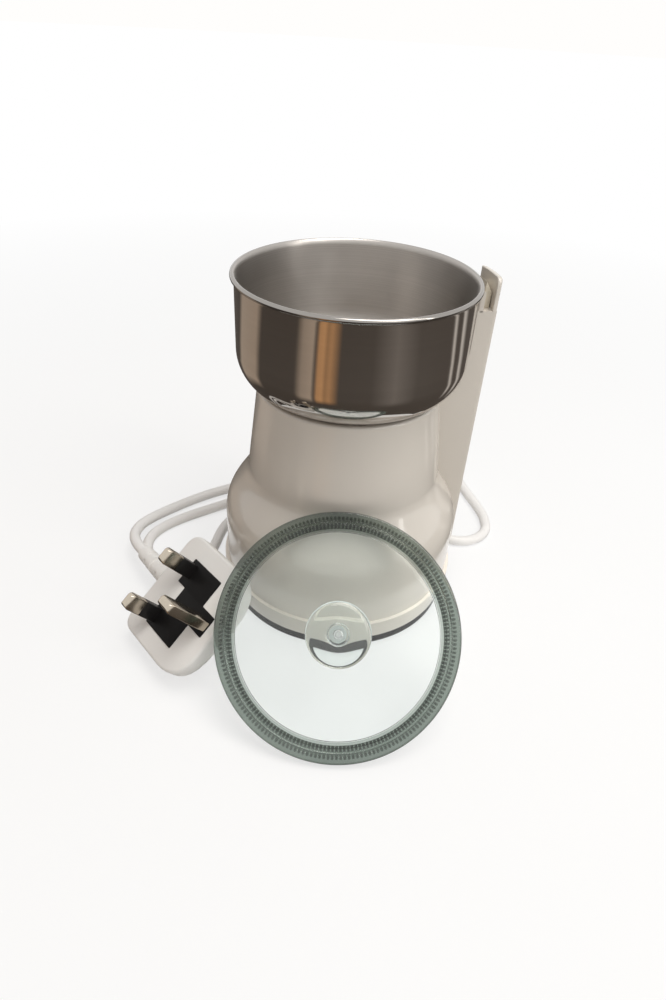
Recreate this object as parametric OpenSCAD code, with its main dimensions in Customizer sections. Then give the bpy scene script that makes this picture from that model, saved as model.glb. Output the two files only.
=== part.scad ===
// Electric coffee grinder with a fixed steel bowl, a side switch column, a loose clear lid and a mains lead.
// Millimetres. The axis of the bowl is Z, the table is z = 0 and the front faces -Y.

/* [Base] */
// thickness of the rubber pad that it stands on
pad_h = 1.2; // [0.6:0.1:3]
// how far the pad stays inside the base plate
pad_inset = 3.2; // [1:0.1:8]
// how far the base plate stays inside the foot band
base_inset = 0.4; // [0:0.1:2]
// thickness of the base plate
base_t = 3.8; // [2.5:0.1:6]
// number of base screws
base_screw_count = 4; // [3:1:6]
// radius of the base screw shanks
base_screw_r = 1.5; // [1:0.1:2.2]
// length of the base screw shanks
base_screw_l = 14; // [8:0.5:20]
// height of the screw heads
head_h = 2; // [1.2:0.1:2.2]
// turn of the first screw pillar
pillar_turn = 45; // [40:1:50]

/* [Body shell] */
// thickness of the shell's walls
wall = 2.4; // [1.6:0.1:3.5]
// how far the foot band stands out from the drum
foot_out = 1.4; // [0.8:0.1:4]
// height of the foot band
foot_h = 8.2; // [5:0.1:14]
// size of the lip above the foot band
lip = 0.7; // [0.4:0.1:1.2]
// radius of the drum
drum_r = 51.2; // [46:0.1:58]
// height of the straight part of the drum
drum_h = 22.8; // [16:0.1:32]
// height of the shoulder between the drum and the neck
shoulder_h = 26; // [18:0.5:34]
// radius of the neck at the bottom
neck_r = 40.6; // [36:0.1:44]
// radius of the neck at the top
neck_top_r = 36.9; // [34.5:0.1:40]
// height of the neck up to the floor of the bowl
neck_h = 35; // [28:0.5:46]
// thickness of the deck under the bowl
deck_t = 2.4; // [1.8:0.1:4]
// height of the ring that stands round the bowl's floor
seat_rise = 1.2; // [0.6:0.1:2]
// number of air slots in the back of the drum
vent_count = 5; // [2:1:5]
// width of an air slot
vent_w = 3; // [1.5:0.1:4]
// angle from one air slot to the next
vent_pitch = 6.5; // [5:0.1:7]
// height of an air slot
vent_h = 13; // [6:0.5:16]
// radius of the screw pillars
pillar_r = 3.8; // [3:0.1:4.5]

/* [Bowl] */
// outer radius of the bowl's wall
bowl_r = 44.6; // [40:0.1:50]
// thickness of the bowl's sheet
bowl_t = 0.8; // [0.5:0.1:1.5]
// radius of the bowl's lower corner
bowl_corner = 16; // [8:0.5:20]
// height of the bowl without its rolled rim
bowl_h = 43.3; // [32:0.1:60]
// radius of the rolled rim
rim_bead = 1.2; // [0.8:0.1:2]

/* [Shaft and blade] */
// radius of the motor shaft
shaft_r = 3; // [2.5:0.1:3.5]
// running clearance of the shaft in its bearings
run_gap = 0.05; // [0.02:0.01:0.1]
// radius of the threaded end of the shaft
stud_r = 2.4; // [1.8:0.1:2.4]
// height of the blade over the floor of the bowl
blade_lift = 4.6; // [3:0.1:12]
// thickness of the blade
blade_t = 1.6; // [1:0.1:2.5]
// reach of the blade
blade_l = 33; // [22:0.5:38]
// width of the blade
blade_w = 10; // [6:0.5:14]
// rise of the blade's tips in degrees
blade_rise = 18; // [5:1:30]
// height of the blade nut
nut_h = 6; // [4:0.5:9]

/* [Bearing bush] */
// radius of the bush through the deck
bush_r = 6; // [5:0.1:8]
// radius of the bush's flange in the bowl
bush_flange_r = 9; // [8.5:0.1:12]
// thickness of the flange
bush_flange_t = 1.6; // [1:0.1:2.5]
// length of the bush under the bowl's floor
bush_l = 13; // [9:0.5:14]
// height of the nut that holds the bush
bush_nut_h = 5; // [3:0.5:6]
// clearance of the bush in the bowl and the deck
bush_gap = 0.1; // [0.05:0.05:0.3]

/* [Motor] */
// radius of the stator
stator_r = 27; // [24:0.5:30]
// thickness of the stator's outer ring
stator_ring = 6; // [5.6:0.1:7]
// height of the stator and the rotor core
stator_h = 22; // [14:0.5:26]
// radius of the rotor core
rotor_r = 14.3; // [12:0.1:15]
// air gap between the rotor and the poles
air_gap = 0.7; // [0.4:0.1:1]
// height of the coils' end turns
coil_h = 5; // [3:0.5:6]
// radius of the commutator
comm_r = 9; // [7:0.5:10]
// height of the commutator
comm_h = 8.7; // [6:0.1:10]
// height of the posts under the motor
post_h = 12; // [9:0.5:16]
// distance of the posts from the axis
post_at = 30; // [26:0.5:33]
// radius of the posts
post_r = 4; // [3:0.1:4.5]
// height of the rubber dampers
damper_h = 2.5; // [1.5:0.1:4]
// thickness of the lower bracket
bracket_t = 3; // [2:0.1:4]
// radius of the lower bracket
bracket_r = 36; // [34:0.5:38]
// radius of the lower bearing
lower_bearing_r = 6; // [5:0.1:7]
// height of the lower bearing
lower_bearing_h = 9.5; // [6:0.5:11]
// height of the spacers between the bracket and the stator
spacer_h = 19.5; // [17:0.5:24]
// radius of the fan
fan_r = 26; // [18:0.5:30]
// height of the fan
fan_h = 8; // [5:0.5:9]
// number of fan vanes
vane_count = 9; // [5:1:12]
// width of a carbon brush
brush_w = 5.6; // [4:0.1:6]
// length of a carbon brush
brush_l = 12; // [8:0.5:13]
// length of a brush holder
holder_l = 13; // [10:0.5:13]
// wall of a brush holder
holder_wall = 1.5; // [1:0.1:2.5]
// gap between the commutator and a brush holder
holder_gap = 4; // [2:0.1:5]
// clearance of a brush in its holder
brush_gap = 0.2; // [0.1:0.05:0.4]
// height of a carbon brush
brush_h = 4.6; // [3:0.1:5]
// radius of the motor's screws
motor_screw_r = 1.7; // [1.2:0.1:1.9]

/* [Switch column] */
// turn of the column's front face from the right side
col_turn = 6; // [0:0.5:20]
// angle that the column takes up
col_angle = 17; // [15:0.5:24]
// angle taken up by each of its end walls
col_end = 2; // [1.5:0.1:2.5]
// how far the column stands out from the drum
col_out = 3.8; // [3.8:0.1:8]
// width of the channel for the switch rod
rod_room = 4; // [3.4:0.1:6]
// thickness of the column's outer wall
col_wall = 1.8; // [1.4:0.1:2.5]
// gap between the bowl and the column
col_gap = 2.6; // [1.6:0.1:4]
// thickness of the wall next to the bowl
col_inner = 2; // [1.4:0.1:2.4]
// how far the top of the column stays below the rim
col_drop = 1; // [0:0.1:6]
// how far the walls next to the bowl stay below the column's top
inner_drop = 5; // [1:0.1:8]
// radius of the outer wall's front corner at the top
top_corner_r = 2.8; // [0.5:0.1:5]
// depth of the slot in the front face
slot_d = 12.5; // [8:0.5:20]
// height of the column's solid bottom
col_block = 8; // [6:0.5:10]

/* [Switch] */
// clearance of the switch rod in the column
rod_gap = 0.6; // [0.3:0.05:1]
// how far the rod's top stays below the column's top
rod_drop = 2; // [0:0.1:6]
// slope of the rod's top across its width
rod_slope = 4.5; // [1:0.1:8]
// travel of the switch rod
rod_travel = 3; // [1.5:0.1:4]
// height of the switch above the neck's bottom
switch_up = 9; // [4:0.5:12]
// length of the switch
switch_l = 12.4; // [10:0.1:12.6]
// width of the switch
switch_w = 5.8; // [4:0.1:6.4]
// height of the switch
switch_h = 6.5; // [5.5:0.1:9]
// radius of the switch plunger
plunger_r = 1.2; // [0.8:0.1:1.5]
// gap between the rod and the plunger
plunger_gap = 0.3; // [0.2:0.05:0.6]

/* [Lid] */
// how far the lid stands out past the bowl's rim
lid_over = -0.5; // [-1:0.1:3]
// thickness of the lid's flange
lid_t = 3.2; // [2:0.1:5]
// width of the flange inside the spigot
pane_inset = 2.6; // [1:0.1:8]
// thickness of the pane
pane_t = 2.2; // [1.5:0.1:3]
// clearance of the lid's spigot in the bowl
spigot_gap = 1.4; // [0.4:0.1:2]
// depth of the spigot
spigot_d = 2.2; // [1.5:0.1:3.2]
// width of the raised edge of the lid
edge_w = 2.4; // [1.5:0.1:3]
// height of the raised edge
edge_h = 0.8; // [0.4:0.1:2]
// lean of the lid from the table
lid_lean = 43.6; // [40:0.1:60]
// turn of the lean about the axis
lid_turn = 0.5; // [-15:0.5:15]
// gap between the lid and the body that it leans on
lid_gap = 0.3; // [0.2:0.05:1]
// radius of the knob
knob_r = 12; // [8:0.5:16]
// height of the knob without its stem
knob_h = 3.3; // [3:0.1:8]
// radius of the knob's flat dome
dome_r = 60; // [20:1:120]
// radius of the knob's stem
stem_r = 3.6; // [3.6:0.1:7]
// height of the stem
stem_h = 4.8; // [3:0.1:8]
// radius of the knob's screw
knob_screw_r = 1.5; // [1:0.1:2.2]

/* [Mains lead] */
// diameter of the lead
lead_d = 5; // [4:0.1:5.4]
// radius of the gland's neck in the body
gland_r = 5; // [4:0.1:5.5]
// radius of the boot where it leaves the body
gland_boot_r = 5.6; // [4.5:0.1:6.5]
// wall of a boot at its thin end
boot_wall = 1.1; // [0.6:0.1:2]
// width of the tie
tie_w = 4; // [2:0.5:6]
// thickness of the tie
tie_t = 0.6; // [0.3:0.1:0.8]
// clearance of the tie round the lead
tie_gap = 0.3; // [0.15:0.05:0.3]

/* [Plug] */
// distance between the two flat pins
pin_pitch = 22.2; // [22:0.1:22.4]
// width of the flat pins
pin_w = 6.35; // [6.2:0.05:6.5]
// thickness of the pins
pin_t = 4; // [3.9:0.05:4.1]
// length of the flat pins
pin_l = 17.7; // [17.2:0.1:18.2]
// length of the sleeves on the flat pins
sleeve_l = 9.5; // [8:0.1:10]
// width of the earth pin
earth_w = 8; // [7.8:0.05:8.2]
// length of the earth pin
earth_l = 22.7; // [22.2:0.1:23.2]
// half the width of the plug
plug_half = 24; // [21:0.1:26]
// depth of the plug's body
plug_d = 17; // [15:0.1:18]
// thickness of the black insert
insert_t = 3; // [2:0.1:4]
// depth of the pins in the body
pin_root = 6; // [4:0.1:8]
// length of the boot on the plug
plug_boot_l = 33; // [24:0.5:40]

/* [Hidden] */
$fn = 64;
white = [0.9, 0.89, 0.87];
black = [0.08, 0.08, 0.09];
steel = [0.72, 0.72, 0.74];
copper = [0.72, 0.42, 0.22];
brass = [0.8, 0.66, 0.36];
clear = [0.75, 0.85, 0.8, 0.5];

// radii of the body
foot_r = drum_r + foot_out;
base_r = foot_r - base_inset;
col_in = bowl_r + col_gap;
pocket_in = col_in + col_inner;
col_r = max(drum_r + col_out, pocket_in + rod_room + col_wall);

// heights of the body
base_z = pad_h + base_t;
foot_z = base_z + foot_h;
drum_z = foot_z + drum_h;
neck_z = drum_z + shoulder_h;
deck_z = neck_z + neck_h;
ring_z = deck_z + seat_rise;
bowl_z = deck_z + bowl_h;
rim_z = bowl_z + rim_bead;
steps = 12;
ease = 1.2;
function shoulder(u) = neck_r + (drum_r - neck_r) * (1 + cos(180 * pow(u, ease))) / 2;
function bowl_at(z, g) = bowl_r - bowl_corner + sqrt(pow(bowl_corner + g, 2) - pow(deck_z + bowl_corner - z, 2));
shoulder_pts = [for (i = [0:steps]) [shoulder(i / steps), drum_z + shoulder_h * i / steps]];
side_pts = concat([[drum_r, foot_z + lip]], shoulder_pts, [[neck_top_r, ring_z - 3.2]]);
seat_gap = 0.2;
seat_in = bowl_at(ring_z, seat_gap);
seat_out = max(seat_in + 0.6, neck_top_r - 1);
shell_pts = concat(
  [[foot_r, base_z], [foot_r, foot_z - lip], [foot_r - lip, foot_z]],
  side_pts,
  [[(neck_top_r + seat_out) / 2 + 0.3, ring_z - 0.8], [seat_out, ring_z], [seat_in, ring_z], [seat_in, deck_z]],
  [[bush_r + bush_gap, deck_z], [bush_r + bush_gap, deck_z - deck_t], [neck_top_r - wall, deck_z - deck_t]],
  [for (i = [steps:-1:0]) [shoulder(i / steps) - wall, drum_z + shoulder_h * i / steps]],
  [[drum_r - wall, foot_z], [foot_r - wall, foot_z - 2], [foot_r - wall, base_z]]);
pillar_at = drum_r - wall - pillar_r + 0.5;
pillar_h = 29;

// gland and lead
lead_pts = [[24, 73, 12], [29, 88, 12], [39.5, 100.5, 7], [56.5, 100.5, 2.5], [67.5, 87.5, 2.5], [70, 69, 2.5],
  [77, 51, 2.5], [80.5, 31, 2.5], [69, 19.5, 2.5], [54.5, 20.5, 2.5], [45, 32, 2.5], [38.5, 48.5, 2.5],
  [22, 57, 2.5], [3, 60, 2.5], [-16, 58, 3], [-33, 49, 4], [-49, 36, 3], [-60, 20, 2.5], [-59, -2.5, 2.5],
  [-74, -12.5, 2.5], [-89.5, -7.5, 2.5], [-95.5, 9.5, 2.5], [-82.5, 25, 2.5], [-63, 37, 3], [-45, 49, 4],
  [-27, 59, 3.5], [-8.5, 68, 2.5], [11.5, 71.5, 2.5], [23.5, 85.5, 2.5], [19, 105, 2.5], [2.5, 114, 2.5],
  [-17.5, 113, 2.5], [-33, 101.5, 2.5], [-37, 83, 2.5], [-38, 64.5, 3.5], [-56, 55, 4], [-73, 46, 3],
  [-89, 32, 2.5], [-99.5, 15, 6], [-97.5, -3, 11.5], [-88, -14, 12.5]];
lead_n = len(lead_pts);
lead_r = lead_d / 2;
lead_ext = concat([2 * lead_pts[0] - lead_pts[1]], lead_pts, [2 * lead_pts[lead_n - 1] - lead_pts[lead_n - 2]]);
function spline(a, b, c, d, t) = (pow(1 - t, 3) * a + (3 * pow(t, 3) - 6 * pow(t, 2) + 4) * b
  + (-3 * pow(t, 3) + 3 * pow(t, 2) + 3 * t + 1) * c + pow(t, 3) * d) / 6;
lead_line = concat([for (i = [0:lead_n - 2]) for (k = [0:1])
  spline(lead_ext[i], lead_ext[i + 1], lead_ext[i + 2], lead_ext[i + 3], k / 2)], [lead_pts[lead_n - 1]]);
ring_n = len(lead_line);
function unit(v) = v / norm(v);
function heading(i) = unit(i == 0 ? lead_pts[1] - lead_pts[0]
  : i == ring_n - 1 ? lead_pts[lead_n - 1] - lead_pts[lead_n - 2] : lead_line[i + 1] - lead_line[i - 1]);
function across(i) = unit(cross([0, 0, 1], heading(i)));
lead_gap = min([for (i = [0:ring_n - 6]) for (j = [i + 5:ring_n - 1]) norm(lead_line[i] - lead_line[j])]) - lead_d;
echo(least_gap_of_lead = lead_gap);
gland_z = lead_pts[0][2];
gland_turn = atan2(lead_pts[0][1], lead_pts[0][0]);
gland_end = norm([lead_pts[0][0], lead_pts[0][1]]);
gland_hole = gland_r + 0.15;
tie_turn = 127;
tie_from = 58.5;
tie_to = 76.6;
tie_z = 3.65;
tail_l = 11;

// motor heights
post_z = base_z + post_h;
bracket_z = post_z + damper_h;
bracket_top = bracket_z + bracket_t;
stator_z = bracket_top + spacer_h;
stator_top = stator_z + stator_h;
coil_z = stator_z - 0.6 - coil_h;
holder_top = coil_z - 0.8;
brush_z = bracket_top + 5.6;
comm_z = brush_z + brush_h / 2 - comm_h / 2;
pole_in = rotor_r + air_gap;
pole_gap = 40;
ring_in = stator_r - stator_ring;
fan_z = stator_top + 0.6 + coil_h + 4.4;
bearing_z = bracket_z - 4;
hub_r = lower_bearing_r + 3;
bolt_at = stator_r - stator_ring / 2;
blade_z = deck_z + bowl_t + blade_lift;
shaft_z = bearing_z - 2;
floor_z = deck_z + bowl_t;

// switch column and switch
col_top = rim_z - col_drop;
col_z = foot_z + lip + 2.1;
col_corner = bowl_corner + col_gap;
pocket_out = col_r - col_wall;
pocket_corner = col_corner + col_inner;
pocket_z = col_z + col_block;
corner_z = deck_z + bowl_corner;
arc_low = -56;
pocket_arc = -62;
pocket_from = neck_top_r - wall - 4.5;
arc_n = 7;
function arc_pts(r, a0) = [for (i = [0:arc_n]) let (a = a0 * (1 - i / arc_n))
  [bowl_r - bowl_corner + r * cos(a), corner_z + r * sin(a)]];
col_side = concat([[drum_r, col_z]], shoulder_pts, [[neck_top_r, ring_z - 3.2]]);
col_pts = concat(col_side, arc_pts(col_corner, arc_low), [[col_in, col_top], [col_r - lip, col_top],
  [col_r, col_top - lip], [col_r, col_z]]);
pocket_low = corner_z + pocket_corner * sin(pocket_arc);
pocket_pts = concat([[pocket_from, pocket_z], [pocket_from, pocket_low]], arc_pts(pocket_corner, pocket_arc),
  [[pocket_in, col_top + 1], [pocket_out, col_top + 1], [pocket_out, pocket_z]]);
switch_z = neck_z + switch_up;
shelf_t = 2;
slot_edge = 0.2;
switch_at = pocket_out - rod_gap - switch_l / 2;
switch_turn = col_turn + col_angle / 2 - 0.5;
rod_in = pocket_in + rod_gap;
rod_out = pocket_out - rod_gap;
plunger_h = rod_travel + 1.2;
rod_z = switch_z + switch_h + plunger_h + plunger_gap;
rod_top = col_top - rod_drop;
foot_in = switch_at - 3;
rod_turn = col_turn + col_end + 1.6;
rod_angle = 2 * (switch_turn - rod_turn);
column_screw_at = [col_turn + col_angle / 4, col_turn + 3 * col_angle / 4];
column_screw_z = col_z + col_block / 2;
column_screw_r = 1.4;

// lid on its lean
lid_r = bowl_r + bowl_t / 4 + rim_bead + lid_over;
lid_top_z = 2 * lid_r * sin(lid_lean);
lean_r = lookup(lid_top_z, [for (p = concat([[foot_r, 0]], side_pts)) [p[1], p[0]]]);
lid_y = -(lean_r + lid_gap + 2 * lid_r * cos(lid_lean));
spigot_r = bowl_r - bowl_t - spigot_gap;
spigot_t = 1.8;
pane_r = spigot_r - spigot_t - pane_inset;
knob_z = lid_t + stem_h;
echo(lid_axis = [-sin(lid_turn) * -sin(lid_lean), cos(lid_turn) * -sin(lid_lean), cos(lid_lean)]);

// plug
plug_angles = [4.4, 37.3, -136.3];
plug_end = [0, -42, -11.5];
insert_half = 16;
insert_y = [-2, 17.5];
tab_half = 4.5;
tab_y = 26.5;
notch_y = 3.5;
insert_up = 0.4;
core_w = pin_w - 1.6;
core_t = pin_t - 1.6;
fuse_r = 3.15;
fuse_l = 25.4;
fuse_y = 10;
fuse_z = -7;
boot_in_r = lead_r + 2.6;

module sector(turn, angle) {
  rotate([0, 0, turn]) rotate_extrude(angle = angle) children();
}

module around(count, turn) {
  for (i = [0:count - 1]) rotate([0, 0, turn + 360 / count * i]) children();
}

module on_lid() {
  rotate([0, 0, lid_turn]) translate([0, lid_y + lid_r * cos(lid_lean), lid_r * sin(lid_lean)])
    rotate([lid_lean, 0, 0]) children();
}

module on_plug() {
  translate(lead_pts[lead_n - 1]) rotate(plug_angles) translate(-plug_end) children();
}

module on_gland() {
  rotate([0, 0, gland_turn]) translate([0, 0, gland_z]) rotate([0, 90, 0]) children();
}

module at_switch() {
  rotate([0, 0, switch_turn]) translate([switch_at, 0, switch_z]) children();
}

module base_pad() {
  color(black) cylinder(r = base_r - pad_inset, h = pad_h);
}

module base_plate() {
  color(black) difference() {
    union() {
      translate([0, 0, pad_h]) cylinder(r = base_r, h = base_t);
      around(3, 90) translate([post_at, 0, base_z]) cylinder(r = post_r, h = post_h);
    }
    around(base_screw_count, pillar_turn) translate([pillar_at, 0, pad_h]) cylinder(r = base_screw_r + 1.7, h = head_h);
    around(base_screw_count, pillar_turn) translate([pillar_at, 0, 0]) cylinder(r = base_screw_r + 0.2, h = base_z + 1);
    around(3, 90) translate([post_at, 0, base_z]) cylinder(r = motor_screw_r, h = post_h + 1);
  }
}

module base_screws() {
  color(steel) around(base_screw_count, pillar_turn) translate([pillar_at, 0, pad_h]) {
    cylinder(r = base_screw_r + 1.5, h = head_h);
    translate([0, 0, head_h]) cylinder(r = base_screw_r, h = base_screw_l);
  }
}

module body_shell() {
  color(white) difference() {
    union() {
      rotate_extrude() polygon(shell_pts);
      around(base_screw_count, pillar_turn) translate([pillar_at, 0, base_z]) cylinder(r = pillar_r, h = pillar_h);
    }
    around(base_screw_count, pillar_turn) translate([pillar_at, 0, base_z - 1])
      cylinder(r = base_screw_r, h = base_screw_l + 2);
    for (i = [0:vent_count - 1]) rotate([0, 0, 97 + vent_pitch * i])
      translate([drum_r - wall - 2, -vent_w / 2, foot_z + 6]) cube([wall + 4, vent_w, vent_h]);
    on_gland() translate([0, 0, drum_r - wall - 4]) cylinder(r = gland_hole, h = foot_r);
    for (a = column_screw_at) rotate([0, 0, a]) translate([drum_r - wall - 1, 0, column_screw_z])
      rotate([0, 90, 0]) cylinder(r = column_screw_r + 0.2, h = wall + 2);
    sector(col_turn + col_end + 2, col_angle - 2 * col_end - 4) translate([neck_r - wall - 6, switch_z - 8])
      square([wall + 8, 6]);
  }
}

module switch_column() {
  color(white) difference() {
    union() {
      difference() {
        sector(col_turn, col_angle) polygon(col_pts);
        sector(col_turn + col_end, col_angle - 2 * col_end) polygon(pocket_pts);
      }
      sector(col_turn + col_end / 2, col_angle - col_end) translate([neck_r + 0.4, switch_z - shelf_t])
        square([col_r - col_wall / 2 - neck_r - 0.4, shelf_t]);
    }
    sector(col_turn - 1, col_end + 2) translate([pocket_in + slot_edge, col_top - slot_d])
      square([pocket_out - pocket_in - 2 * slot_edge, slot_d + 2]);
    sector(col_turn - 1, col_angle + 2) translate([col_in - 1, col_top - inner_drop])
      square([pocket_out - slot_edge - col_in + 1, inner_drop + 1]);
    rotate([0, 0, col_turn]) translate([pocket_out - 1, 0, col_top - top_corner_r]) rotate([90, 0, 90])
      linear_extrude(col_wall + 2) difference() {
        translate([-1, 0]) square(top_corner_r + 1);
        translate([top_corner_r, 0]) circle(r = top_corner_r);
      }
    at_switch() translate([-switch_l / 2 + 1.6, -1.2, -shelf_t - 1]) cube([switch_l - 3.2, 2.4, shelf_t + 2]);
    for (a = column_screw_at) rotate([0, 0, a]) translate([drum_r - 1, 0, column_screw_z])
      rotate([0, 90, 0]) cylinder(r = column_screw_r, h = col_r - drum_r - 0.4);
  }
}

module column_screws() {
  color(steel) for (a = column_screw_at) rotate([0, 0, a]) translate([0, 0, column_screw_z]) rotate([0, 90, 0]) {
    translate([0, 0, drum_r - wall - 0.3 - head_h]) cylinder(r = column_screw_r + 1.1, h = head_h);
    translate([0, 0, drum_r - wall - 0.3]) cylinder(r = column_screw_r, h = col_r - drum_r + wall - 1.2);
  }
}

module bowl_section(r, corner, low, top) {
  translate([bowl_r - bowl_corner, corner_z]) circle(r = corner);
  translate([0, low]) square([bowl_r - bowl_corner, top - low]);
  translate([0, corner_z]) square([r, top - corner_z]);
}

module bowl() {
  color(steel) rotate_extrude() difference() {
    union() {
      bowl_section(bowl_r, bowl_corner, deck_z, bowl_z);
      translate([bowl_r + bowl_t / 4, bowl_z]) circle(r = rim_bead);
    }
    bowl_section(bowl_r - bowl_t, bowl_corner - bowl_t, floor_z, rim_z + 1);
    translate([0, deck_z - 1]) square([bush_r + bush_gap, bowl_h]);
  }
}

module bearing_bush() {
  color(brass) difference() {
    union() {
      translate([0, 0, floor_z]) cylinder(r = bush_flange_r, h = bush_flange_t);
      translate([0, 0, floor_z - bush_l]) cylinder(r = bush_r, h = bush_l);
    }
    translate([0, 0, floor_z - bush_l - 1]) cylinder(r = shaft_r + run_gap, h = bush_l + bush_flange_t + 2);
  }
}

module bush_nut() {
  color(steel) translate([0, 0, deck_z - deck_t - bush_nut_h]) difference() {
    cylinder(r = bush_r + 4, h = bush_nut_h, $fn = 6);
    translate([0, 0, -1]) cylinder(r = bush_r, h = bush_nut_h + 2);
  }
}

module lower_bearing() {
  color(brass) translate([0, 0, bearing_z]) difference() {
    cylinder(r = lower_bearing_r, h = lower_bearing_h);
    translate([0, 0, -1]) cylinder(r = shaft_r + run_gap, h = lower_bearing_h + 2);
  }
}

module lower_bracket() {
  color([0.55, 0.56, 0.58]) difference() {
    union() {
      translate([0, 0, bracket_z]) cylinder(r = bracket_r, h = bracket_t);
      translate([0, 0, bearing_z]) cylinder(r = hub_r, h = lower_bearing_h);
    }
    translate([0, 0, bearing_z - 1]) cylinder(r = lower_bearing_r, h = lower_bearing_h + 2);
    around(3, 90) translate([post_at, 0, bracket_z - 1]) cylinder(r = motor_screw_r + 0.2, h = bracket_t + 2);
    around(2, 0) translate([bolt_at, 0, bracket_z - 1]) cylinder(r = motor_screw_r, h = bracket_t + 2);
    around(2, 32) translate([(hub_r + bracket_r) / 2 - 3, 0, bracket_z - 1]) cylinder(r = 6, h = bracket_t + 2);
  }
}

module bracket_dampers() {
  color(black) around(3, 90) translate([post_at, 0, post_z]) difference() {
    cylinder(r = post_r + 0.8, h = damper_h);
    translate([0, 0, -1]) cylinder(r = motor_screw_r + 0.2, h = damper_h + 2);
  }
}

module bracket_screws() {
  color(steel) around(3, 90) translate([post_at, 0, bracket_top]) {
    cylinder(r = motor_screw_r + 1.5, h = head_h);
    translate([0, 0, -bracket_t - damper_h - post_h + 2]) cylinder(r = motor_screw_r, h = bracket_t + damper_h + post_h - 2);
  }
}

module stator_core() {
  color([0.42, 0.43, 0.46]) translate([0, 0, stator_z]) linear_extrude(height = stator_h) difference() {
    circle(r = stator_r);
    circle(r = pole_in);
    for (a = [0, 180]) rotate(a) intersection() {
      circle(r = ring_in);
      polygon([[0, 0], [stator_r, stator_r * tan(pole_gap)], [stator_r, -stator_r * tan(pole_gap)]]);
    }
    for (a = [0, 180]) rotate(a) translate([bolt_at, 0]) circle(r = motor_screw_r + 0.2);
  }
}

module stator_coils() {
  color(copper) for (a = [90, 270]) difference() {
    sector(a - 86, 172) translate([pole_in + 0.6, coil_z])
      square([ring_in - pole_in - 1.1, stator_h + 2 * coil_h + 1.2]);
    sector(a - 94 + pole_gap, 188 - 2 * pole_gap) translate([pole_in - 1, stator_z - 0.6])
      square([ring_in - pole_in + 2, stator_h + 1.2]);
  }
}

module stator_spacers() {
  color(steel) around(2, 0) translate([bolt_at, 0, bracket_top]) difference() {
    cylinder(r = stator_ring / 2, h = spacer_h);
    translate([0, 0, -1]) cylinder(r = motor_screw_r + 0.2, h = spacer_h + 2);
  }
}

module stator_screws() {
  color(steel) around(2, 0) translate([bolt_at, 0, bracket_z]) {
    cylinder(r = motor_screw_r, h = bracket_t + spacer_h + stator_h);
    translate([0, 0, bracket_t + spacer_h + stator_h]) cylinder(r = stator_ring / 2 - 0.2, h = head_h);
  }
}

module brush_holders() {
  color([0.35, 0.22, 0.12]) around(2, 90) difference() {
    translate([comm_r + holder_gap, -brush_w / 2 - brush_gap - holder_wall, bracket_top])
      cube([holder_l, brush_w + 2 * brush_gap + 2 * holder_wall, holder_top - bracket_top]);
    translate([comm_r, -brush_w / 2 - brush_gap, brush_z - brush_gap])
      cube([brush_l + 3, brush_w + 2 * brush_gap, brush_h + 2 * brush_gap]);
  }
}

module carbon_brushes() {
  color([0.15, 0.15, 0.16]) around(2, 90) translate([comm_r + brush_gap, -brush_w / 2, brush_z])
    cube([brush_l, brush_w, brush_h]);
}

module motor_shaft() {
  color(steel) {
    translate([0, 0, shaft_z]) cylinder(r = shaft_r, h = blade_z - shaft_z);
    translate([0, 0, blade_z]) cylinder(r = stud_r, h = blade_t + nut_h - 1);
  }
}

module rotor_core() {
  color([0.45, 0.45, 0.48]) translate([0, 0, stator_z]) difference() {
    cylinder(r = rotor_r, h = stator_h);
    translate([0, 0, -1]) cylinder(r = shaft_r, h = stator_h + 2);
    around(12, 0) translate([rotor_r - 0.8, 0, -1]) cylinder(r = 1.1, h = stator_h + 2);
  }
}

module rotor_windings() {
  color(copper) for (z = [stator_z - coil_h, stator_top]) translate([0, 0, z]) difference() {
    cylinder(r = rotor_r - 1.9, h = coil_h);
    translate([0, 0, -1]) cylinder(r = shaft_r, h = coil_h + 2);
  }
}

module commutator() {
  color(copper) translate([0, 0, comm_z]) difference() {
    cylinder(r = comm_r, h = comm_h);
    translate([0, 0, -1]) cylinder(r = shaft_r, h = comm_h + 2);
  }
}

module cooling_fan() {
  color([0.2, 0.22, 0.25]) translate([0, 0, fan_z]) difference() {
    union() {
      cylinder(r = fan_r, h = 1.2);
      cylinder(r = shaft_r + 3.5, h = fan_h);
      around(vane_count, 0) translate([shaft_r + 2, -0.5, 0]) cube([fan_r - shaft_r - 3, 1, fan_h]);
    }
    translate([0, 0, -1]) cylinder(r = shaft_r, h = fan_h + 2);
  }
}

module blade() {
  bend = blade_l * 0.6;
  color(steel) translate([0, 0, blade_z]) difference() {
    union() {
      cylinder(r = blade_w * 0.7, h = blade_t);
      around(2, 25) translate([0, -blade_w / 2, 0]) cube([bend, blade_w, blade_t]);
      around(2, 25) translate([bend, -blade_w / 2, 0]) rotate([0, -blade_rise, 0])
        translate([-0.3, 0, 0]) cube([blade_l - bend, blade_w * 0.8, blade_t]);
    }
    translate([0, 0, -1]) cylinder(r = stud_r, h = blade_t + 2);
  }
}

module blade_nut() {
  color(steel) translate([0, 0, blade_z + blade_t]) difference() {
    union() {
      cylinder(r = stud_r + 2.6, h = nut_h - 2, $fn = 6);
      cylinder(r1 = stud_r + 2, r2 = stud_r + 0.8, h = nut_h);
    }
    translate([0, 0, -1]) cylinder(r = stud_r, h = nut_h);
  }
}

module switch_rod() {
  color([0.88, 0.84, 0.74]) sector(rod_turn, rod_angle) polygon([[foot_in, rod_z], [rod_out, rod_z],
    [rod_out, rod_top - rod_slope], [rod_in, rod_top], [rod_in, rod_z + 4], [foot_in, rod_z + 4]]);
}

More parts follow.
